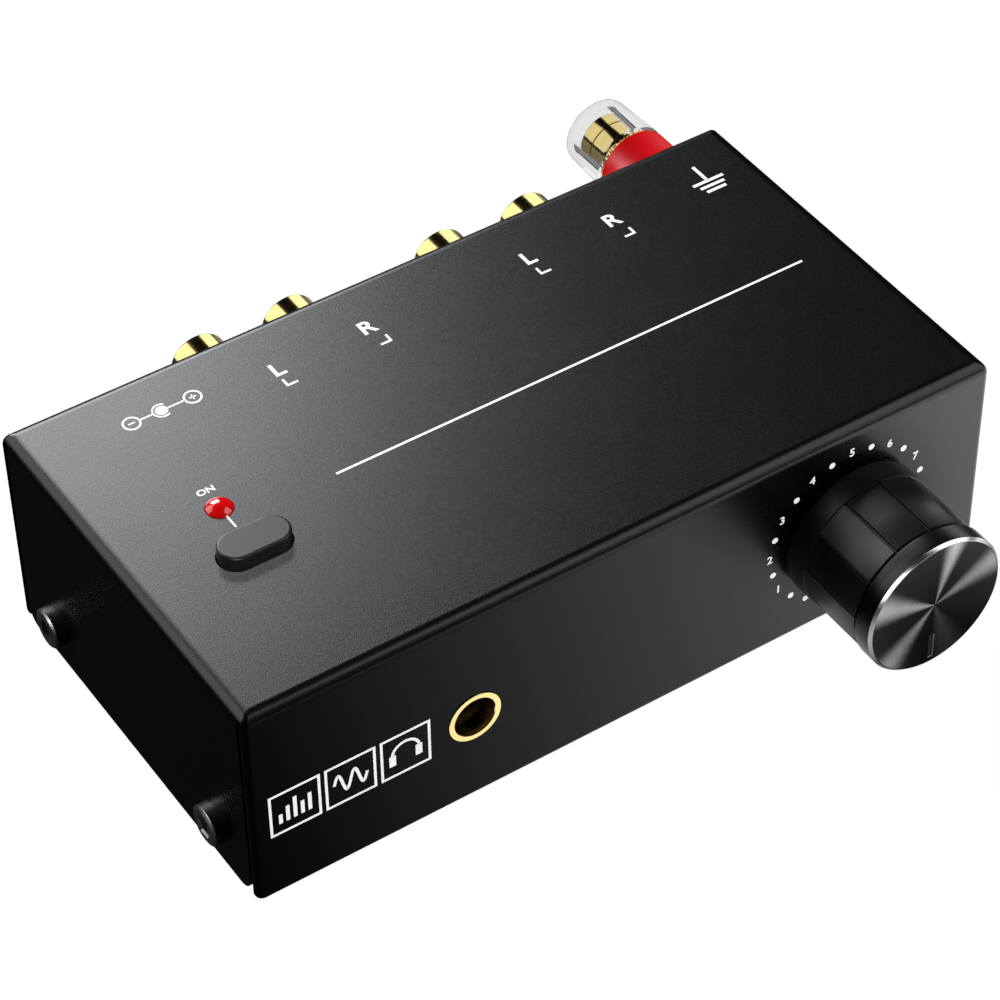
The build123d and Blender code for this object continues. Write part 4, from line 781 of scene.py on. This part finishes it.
p = post
flangeBore, thimbleBore = p["thimbleFlange"] + p["fit"], p["thimble"] + p["fit"]
addPostPiece(
    "postCollar",
    [(p["tailBore"], -1.0), (p["shoulder"], -1.0), (p["shoulder"], 0.0), (p["collar"], 0.0),
     (p["collar"], p["collarLength"]), (p["bore"], p["collarLength"]), (p["bore"], p["ledge"]),
     (p["tailBore"], p["ledge"]), (p["tailBore"], -1.0)],
    [0.0, 0.0, 0.15, 0.3, 0.1, 0.0, 0.0], "case", "collar_red", "post_collar",
)
addPostPiece(
    "postThimble",
    [(p["bore"], p["capStart"]), (p["thimbleFlange"], p["capStart"]), (p["thimbleFlange"], p["flangeEnd"]),
     (p["thimble"], p["flangeEnd"]), (p["thimble"], p["line"] - p["lineDepth"]),
     (p["thimble"] - p["lineDepth"], p["line"]), (p["thimble"], p["line"] + p["lineDepth"]),
     (p["thimble"], p["thimbleEnd"]), (p["bore"], p["thimbleEnd"]), (p["bore"], p["capStart"])],
    [0.08, 0.1, 0.05, 0.0, 0.0, 0.0, 0.2, 0.08], "ground_cap", "gilt", "post_thimble",
)
addPostPiece(
    "postSleeve",
    [(flangeBore, p["capStart"]), (p["collar"], p["capStart"]), (p["sleeveEndRadius"], p["sleeveEnd"]),
     (thimbleBore, p["sleeveEnd"]), (thimbleBore, p["flangeEnd"] + p["fit"]),
     (flangeBore, p["flangeEnd"] + p["fit"]), (flangeBore, p["capStart"])],
    [0.15, 0.4, 0.12, 0.0, 0.0], "ground_cap", "cap_clear", "post_cap", 160,
)
print("jacks, ring and post made")

# Switch spring, at its pressed length so that the plunger has room to come down
spring = {"radius": 1.8, "wire": 0.4, "turns": 5, "travel": 1.6, "clear": 0.05}


# wire of radius w about a helix, at turn t and section angle s: radius R + w·cos s, height rise·t + w·sin s
def springMesh(low, high):
    turn = np.linspace(0.0, 2 * math.pi * spring["turns"], 24 * spring["turns"] + 1)
    turn = np.concatenate([turn[:1], turn, turn[-1:]])
    wire = np.full(len(turn), spring["wire"] / 2)
    wire[[0, -1]] = 0.0  # both ends close on their middle
    height = (high.z - low.z) / mm - spring["travel"] - spring["clear"] - spring["wire"]
    section = np.linspace(0.0, 2 * math.pi, 9)[None, :]
    radius = spring["radius"] + wire[:, None] * np.cos(section)
    rise = spring["wire"] / 2 + height * turn[:, None] / turn[-1] + wire[:, None] * np.sin(section)
    flat = np.stack([radius * np.cos(turn[:, None]), radius * np.sin(turn[:, None]), rise], -1)
    foot = np.array([(low.x + high.x) / 2, (low.y + high.y) / 2, low.z])
    return closedMesh("switchSpring", foot + mm * flat)


addPiece("switchSpring", springMesh(*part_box("switch_spring")), "case", "spring_steel", ["switch_spring"])

# Print: every mark lies on one of two panels, at (a, b) in mm from the panel's lower left corner
printed = {"proud": 0.016, "sunk": 0.01}
panels = {
    "top": Matrix.Translation((leftX, frontY, topZ)),
    "front": Matrix.Translation((leftX, frontY, sillZ)) @ Matrix.Rotation(math.radians(90), 4, "X"),
}


# a line of width w along a path: each row is the path ± w/2·mitre, raised and sunk
def lineMesh(path, width, closed=False):
    path = np.array(path, float)
    if closed:
        path = np.concatenate([path, path[:1]])
    along = np.diff(path, axis=0)
    along /= np.linalg.norm(along, axis=1)[:, None]
    square = np.stack([-along[:, 1], along[:, 0]], 1)
    before = np.concatenate([square[-1:] if closed else square[:1], square])
    after = np.concatenate([square, square[:1] if closed else square[-1:]])
    mitre = before + after
    mitre /= (0.5 * (mitre**2).sum(1))[:, None]
    rows = []
    for sideways, way in ((-1, "sunk"), (-1, "proud"), (1, "proud"), (1, "sunk"), (-1, "sunk")):
        height = printed[way] if way == "proud" else -printed[way]
        flat = path + sideways * mitre * width / 2
        rows.append(np.concatenate([flat, np.full((len(flat), 1), height)], 1))
    points = np.stack(rows, 1)
    return closedMesh("line", (points if closed else closeEnds(points)) * mm)


# a flat dot: its outline at angle t is (a + r·cos t, b + r·sin t), raised, sunk and closed in the middle
def discMesh(a, b, radius):
    radii = np.array([0.0, radius, radius, 0.0])[:, None]
    heights = np.array([-printed["sunk"], -printed["sunk"], printed["proud"], printed["proud"]])[:, None]
    turn = np.linspace(0, 2 * math.pi, 33)[None, :]
    x, y = a + radii * np.cos(turn), b + radii * np.sin(turn)
    return closedMesh("dot", np.stack([x, y, np.broadcast_to(heights, x.shape)], -1) * mm)


# points of an arc about (a, b), from one angle to another in degrees
def arcPath(a, b, radius, start, end, steps=40):
    turn = np.radians(np.linspace(start, end, steps))
    return np.stack([a + radius * np.cos(turn), b + radius * np.sin(turn)], 1)


# a letter or number, made a mesh, scaled to its height and centred on (a, b)
def letterMesh(text, a, b, height, weight=0.02, stretch=1.0):
    curve = bpy.data.curves.new("letter", "FONT")
    curve.body = text
    curve.offset = weight
    curve.extrude = 0.01
    curve.resolution_u = 4
    holder = newObject("letter", curve)
    mesh = bpy.data.meshes.new_from_object(holder.evaluated_get(bpy.context.evaluated_depsgraph_get()))
    bpy.data.objects.remove(holder)
    points = np.zeros(len(mesh.vertices) * 3)
    mesh.vertices.foreach_get("co", points)
    points = points.reshape(-1, 3)
    low, high = points.min(0), points.max(0)
    size = height / (high[1] - low[1])
    points[:, :2] = (points[:, :2] - (low[:2] + high[:2]) / 2) * size * (stretch, 1) + (a, b)
    points[:, 2] = np.where(points[:, 2] > 0, printed["proud"], -printed["sunk"])
    mesh.vertices.foreach_set("co", (points * mm).ravel())
    return mesh


# print isn't seen in reflections
def addPrint(name, panel, meshes):
    mesh = joinMeshes(name, meshes)
    mesh.transform(panels[panel])
    weld(mesh)
    item = addPiece(name, mesh, "case", "case_paint", sharp=20, materials=[finishes["print"]])
    item.visible_glossy = False


# dots and numbers about the knob, by their angles in degrees
dial = {
    "at": (88.27, 15.48), "dotRadius": 11.95, "dot": 0.46, "dots": [*range(15, 226, 30), 240, -45, -60],
    "numberRadius": 12.2, "numberHeight": 1.28,
    "numbers": {"1": -150, "2": 180, "3": 150, "4": 120, "5": 90, "6": 60, "7": 30, "8": -4, "9": -30},
}


def dialPlace(radius, degrees):
    turn = math.radians(degrees)
    return dial["at"][0] + radius * math.cos(turn), dial["at"][1] + radius * math.sin(turn)


dialParts = [discMesh(*dialPlace(dial["dotRadius"], degrees), dial["dot"]) for degrees in dial["dots"]]
for number, degrees in dial["numbers"].items():
    dialParts.append(letterMesh(number, *dialPlace(dial["numberRadius"], degrees), dial["numberHeight"]))
addPrint("dialScale", "front", dialParts)

# Three framed signs on the front: level bars, a tone's wave and a pair of headphones
signs = {
    "frames": ((2.65, 9.45), (10.42, 17.23), (18.22, 25.0)), "low": 10.3, "high": 17.05, "frameLine": 0.37,
    "bars": (1.6, 2.6, 3.6, 2.2, 3.0), "barStart": 4.0, "barStep": 1.02, "barFoot": 11.9, "barLine": 0.52,
    "wave": (11.5, 4.65), "waveMiddle": 13.7, "waveRise": 1.45, "waveLine": 0.42,
    "band": (21.6, 13.6, 1.95, 8, 172), "bandLine": 0.4,
    "cups": (19.72, 23.48), "cup": (13.9, 12.1), "cupLine": 0.95,
}
signParts = []
for low, high in signs["frames"]:
    corners = [(low, signs["low"]), (high, signs["low"]), (high, signs["high"]), (low, signs["high"])]
    signParts.append(lineMesh(corners, signs["frameLine"], closed=True))
for number, rise in enumerate(signs["bars"]):
    a = signs["barStart"] + number * signs["barStep"]
    signParts.append(lineMesh([(a, signs["barFoot"]), (a, signs["barFoot"] + rise)], signs["barLine"]))
waveStart, waveLength = signs["wave"]
wave = np.linspace(0.0, waveLength, 49)
waveHeight = signs["waveMiddle"] + signs["waveRise"] * np.sin(wave / waveLength * 4 * math.pi)
signParts.append(lineMesh(np.stack([waveStart + wave, waveHeight], 1), signs["waveLine"]))
signParts.append(lineMesh(arcPath(*signs["band"]), signs["bandLine"]))
signParts += [lineMesh([(a, b) for b in signs["cup"]], signs["cupLine"]) for a in signs["cups"]]
addPrint("frontSigns", "front", signParts)

# Marks on the top: jack letters and brackets, lamp, earth sign, polarity of the inlet and the long rule
topMarks = {
    "letterHeight": 2.45, "letterStretch": 1.08,
    "letters": (("L", 34.75, 49.84), ("R", 48.49, 50.26), ("L", 73.16, 49.97), ("R", 86.67, 50.2)),
    "brackets": ((34.91, 47.05, 1), (48.95, 46.95, -1), (73.46, 46.93, 1), (86.92, 46.9, -1)),
    "bracket": ((-0.65, 0.75), (-0.65, -0.55), (0.85, -0.55)), "bracketLine": 0.33,
    "lamp": ("ON", 15.97, 35.73, 1.05, 0.02, 1.1),
    "lines": (  # start, end and width: lamp, then the earth sign
        ((15.9, 30.9), (15.9, 28.2), 0.26), ((101.9, 53.1), (101.9, 49.75), 0.48),
        ((99.5, 49.67), (104.4, 49.67), 0.48), ((100.05, 48.66), (103.9, 48.66), 0.48),
        ((100.43, 47.7), (103.5, 47.7), 0.48),
    ),
    "rule": ((30.8, 29.3), (102.3, 29.3), 0.34),
}
polarity = {
    "b": 51.42, "minus": 14.47, "plus": 23.26, "circle": 1.12, "circleLine": 0.26,
    "arm": 0.48, "rise": 0.44, "armLine": 0.2,
    "centre": 18.76, "dot": 0.84, "shell": (1.18, 50, 302, 44), "shellLine": 0.22,
    "links": ((15.59, 17.58), (19.5, 22.14)), "linkLine": 0.24,
}
markParts = []
for text, a, b in topMarks["letters"]:
    markParts.append(letterMesh(text, a, b, topMarks["letterHeight"], stretch=topMarks["letterStretch"]))
for a, b, way in topMarks["brackets"]:
    corners = [(a + way * right, b + up) for right, up in topMarks["bracket"]]
    markParts.append(lineMesh(corners, topMarks["bracketLine"]))
markParts.append(letterMesh(*topMarks["lamp"]))
markParts += [lineMesh([start, end], width) for start, end, width in topMarks["lines"]]
p, b = polarity, polarity["b"]
for a in (p["minus"], p["plus"]):
    markParts.append(lineMesh(arcPath(a, b, p["circle"], 0, 354, 60), p["circleLine"], closed=True))
    markParts.append(lineMesh([(a - p["arm"], b), (a + p["arm"], b)], p["armLine"]))
markParts.append(lineMesh([(p["plus"], b - p["rise"]), (p["plus"], b + p["rise"])], p["armLine"]))
markParts.append(discMesh(p["centre"], b, p["dot"]))
markParts.append(lineMesh(arcPath(p["centre"], b, *p["shell"]), p["shellLine"]))
markParts += [lineMesh([(start, b), (end, b)], p["linkLine"]) for start, end in p["links"]]
markParts.append(lineMesh(topMarks["rule"][:2], topMarks["rule"][2]))
addPrint("topMarks", "top", markParts)
print("print made")

# Floor, lights and camera
studio = {
    "floor": 1.6,
    "lights": {  # place, aim, size across and up, power in W, the group that it lights
        "rearSoft": ((0.086, 0.752, 0.487), (0.0, 0.0, 0.02), (0.485, 0.52), 3.7, "painted"),
        "rearThrough": ((0.086, 0.752, 0.487), (0.0, 0.0, 0.02), (0.485, 0.52), 3.7, "painted"),
        "leftRear": ((-0.56, 0.62, 0.44), (0.0, 0.0, 0.02), (0.7, 0.7), 2.6, "painted"),
        "frontHigh": ((0.56, -0.46, 0.52), (0.0, -0.03, 0.034), (0.6, 0.9), 2.6, "painted"),
        "leftPlate": ((-0.654, 0.842, 0.587), (0.047, 0.043, 0.025), (0.84, 1.56), 5.3, "plated"),
        "rightPlate": ((0.852, 0.794, 0.504), (0.047, 0.043, 0.025), (0.67, 1.56), 4.3, "plated"),
        "lowPlate": ((-0.004, 0.09, 0.001), (-0.004, 0.09, 1.0), (0.112, 0.08), 0.0075, "plated"),
        "lowRight": ((0.165, 0.13, 0.001), (0.165, 0.13, 1.0), (0.16, 0.14), 0.02, "plated"),
        "ringPlate": ((-0.01, -0.06, 0.0015), (-0.01, -0.06, 1.0), (0.08, 0.06), 0.0125, "plated"),
        "rightKnob": ((0.75, 0.45, 0.2), (0.03, -0.04, 0.02), (0.3, 0.3), 0.55, "knob"),
        "bevelKnob": ((-0.26, -0.545, 0.176), (0.033, -0.047, 0.02), (0.45, 0.3), 0.75, "knob"),
        "leftKnob": ((-0.3, 0.1, 0.55), (0.03, -0.04, 0.02), (0.25, 0.25), 0.9, "knob"),
        "collarLeft": ((-0.5, 0.3, 0.35), (0.05, 0.03, 0.02), (0.3, 0.3), 4.0, "collar"),
        "collarRight": ((0.6, 0.1, 0.3), (0.05, 0.03, 0.02), (0.3, 0.3), 5.2, "collar"),
        "printFill": ((-0.35, -0.5, 0.55), (0.0, 0.0, 0.02), (0.4, 0.4), 10.0, "print"),
        "screwFill": ((-0.6, 0.1, 0.15), (-0.05, 0.0, 0.01), (0.3, 0.3), 2.7, "screws"),
        "buttonFill": ((-0.35, -0.5, 0.35), (-0.04, 0.0, 0.03), (0.3, 0.3), 2.3, "button"),
    },
    "tint": (0.955, 0.975, 1.0),
    "passing": {"rearThrough": ("power_button",)},  # a light and the pieces that cast no shadow in it
    "glowLine": (0.97, 0.24, -0.065, 0.065),  # direction along the floor, start and end in m
    "glow": (0.012, 1.7),  # radiance at the start and the end
    "glowRise": 1.7,  # the power by which it grows between them
    "glowEdge": (-0.012, -0.03),  # it lies before the case: none behind the first y, all before the second
    # the knob's shadow, painted into the glow
    "glowShade": ((0.045, -0.052), 0.008, 0.02, 0.04),  # under the knob: middle, start, end and what is left
    "world": 0.004, "worldSeen": 1.0, "worldTint": (0.97, 0.98, 1.0),
}


# 1 where a ray comes from the eye, straight or through clear plastic, 0 where it was reflected or scattered
def seenDirectly(tree):
    path = addNode(tree, "ShaderNodeLightPath").outputs
    straight = addMath(tree, "MAXIMUM", path["Is Camera Ray"], path["Is Transmission Ray"])
    bounced = addMath(tree, "ADD", path["Glossy Depth"], path["Diffuse Depth"])
    return addMath(tree, "MULTIPLY", straight, addMath(tree, "LESS_THAN", bounced, 0.5))


floorLine = np.linspace(-1, 1, 9) * studio["floor"] / 2
floorMesh = gridMesh("floor", np.stack([*np.meshgrid(floorLine, floorLine), np.zeros((9, 9))], -1))
floor = newObject("floor", floorMesh)

# the floor is pale to the eye and through clear plastic, in reflections dark with a glow at its right front
floorFinish, tree, shader = newFinish(
    "floorFinish", Roughness=0.9, Specular_IOR_Level=0.0, Emission_Strength=1.0
)
seen = seenDirectly(tree)
place = objectVector(tree)
alongX, alongY, glowStart, glowEnd = studio["glowLine"]
line = addNode(tree, "ShaderNodeVectorMath", {0: place, 1: (alongX, alongY, 0.0)}, operation="DOT_PRODUCT")
share = addRange(tree, line.outputs["Value"], glowStart, glowEnd)
share = addMath(tree, "POWER", share, studio["glowRise"])
# painted shadow of the knob: the glow falls off towards a point under it
middle, shadeStart, shadeEnd, left = studio["glowShade"]
away = addNode(tree, "ShaderNodeVectorMath", {0: place, 1: (*middle, 0.0)}, operation="DISTANCE")
away = addRange(tree, away.outputs["Value"], shadeStart, shadeEnd, left, 1.0)
share = addMath(tree, "MULTIPLY", share, away)
inFront = addRange(tree, splitVector(tree, place)["Y"], *studio["glowEdge"])
share = addMath(tree, "MULTIPLY", share, inFront)
glow = addMix(tree, share, *((*(level * part for part in studio["tint"]), 1.0) for level in studio["glow"]))
pale = addMix(tree, addNoise(tree, place, 6.0), (0.985, 0.985, 0.985, 1), (1.0, 1.0, 1.0, 1))
tree.links.new(addMix(tree, seen, glow, pale), shader.inputs["Emission Color"])
feedColour(tree, shader, seen, (0.005, 0.005, 0.005), (0.06, 0.06, 0.06))
floorMesh.materials.append(floorFinish)

# groups of pieces with lights of their own, by slots and by the starts of names. The lights of the painted
# case reach all pieces but those of the groups that are kept from them
lightGroups = {
    "plated": (("gilt", "cap_clear"), ("jackShell", "headphoneRing", "postThimble", "postSleeve")),
    "collar": (("collar_red",), ("postCollar",)),
    "knob": (("knob_black", "knob_metal"), ("knobGrip", "knobFace")),
    "print": ((), ("dialScale", "frontSigns", "topMarks")),
    "screws": (("screw_black",), ("side_screws",)),
    "button": (("button_plastic",), ("power_button",)),
}
keptFromPainted = ("plated", "collar")


def excludeAll(collection):
    for link in collection.collection_objects:
        link.light_linking.link_state = "EXCLUDE"


painted = bpy.data.collections.new("painted")
for kind, (slots, names) in lightGroups.items():
    group = bpy.data.collections.new(kind)
    members = [item for node, item in nodes.items() if slotOf[node] in slots]
    members += [item for item in bpy.data.objects if item.name.startswith(names)]
    for item in dict.fromkeys(members):
        group.objects.link(item)
        if kind in keptFromPainted:
            painted.objects.link(item)
excludeAll(painted)

for name, (place, aim, size, power, receivers) in studio["lights"].items():
    light = bpy.data.lights.new(name, "AREA")
    light.shape = "RECTANGLE"
    light.size, light.size_y = size
    light.energy = power
    lamp = newObject(name, light)
    lamp.location = place
    lamp.rotation_euler = (Vector(aim) - Vector(place)).to_track_quat("-Z", "Y").to_euler()
    lamp.visible_camera = False
    lamp.light_linking.receiver_collection = bpy.data.collections[receivers]
    if receivers == "painted":
        light.color = studio["tint"]
    if name in studio["passing"]:
        passing = bpy.data.collections.new(name)
        for node in studio["passing"][name]:
            passing.objects.link(nodes[node])
        excludeAll(passing)
        lamp.light_linking.blocker_collection = passing

world = bpy.data.worlds.new("studio")
world.use_nodes = True
tree = world.node_tree
background = tree.nodes["Background"].inputs
background["Color"].default_value = (*studio["worldTint"], 1.0)
strength = addRange(tree, seenDirectly(tree), 0.0, 1.0, studio["world"], studio["worldSeen"])
tree.links.new(strength, background["Strength"])
bpy.context.scene.world = world
bpy.context.scene.view_settings.view_transform = "Standard"
bpy.context.scene.view_settings.look = "None"

view = {
    "place": (-0.18017, -0.27703, 0.33651), "azimuth": -32.958, "elevation": 44.084, "roll": -0.925,
    "lens": 128.635, "sensor": 36.0, "nearest": 0.01,
}
camera = bpy.data.cameras.new("camera")
camera.lens = view["lens"]
camera.sensor_width = view["sensor"]
camera.clip_start = view["nearest"]
eye = newObject("camera", camera)
azimuth, elevation, roll = (math.radians(view[key]) for key in ("azimuth", "elevation", "roll"))
flat = math.cos(elevation)
back = Vector((math.sin(azimuth) * flat, -math.cos(azimuth) * flat, math.sin(elevation)))
right = Vector((0, 0, 1)).cross(back).normalized()
up = back.cross(right)
turnedRight = right * math.cos(roll) + up * math.sin(roll)
turnedUp = up * math.cos(roll) - right * math.sin(roll)
turn = Matrix((turnedRight, turnedUp, back)).transposed().to_4x4()
eye.matrix_world = Matrix.Translation(view["place"]) @ turn
bpy.context.scene.camera = eye
print("studio made")
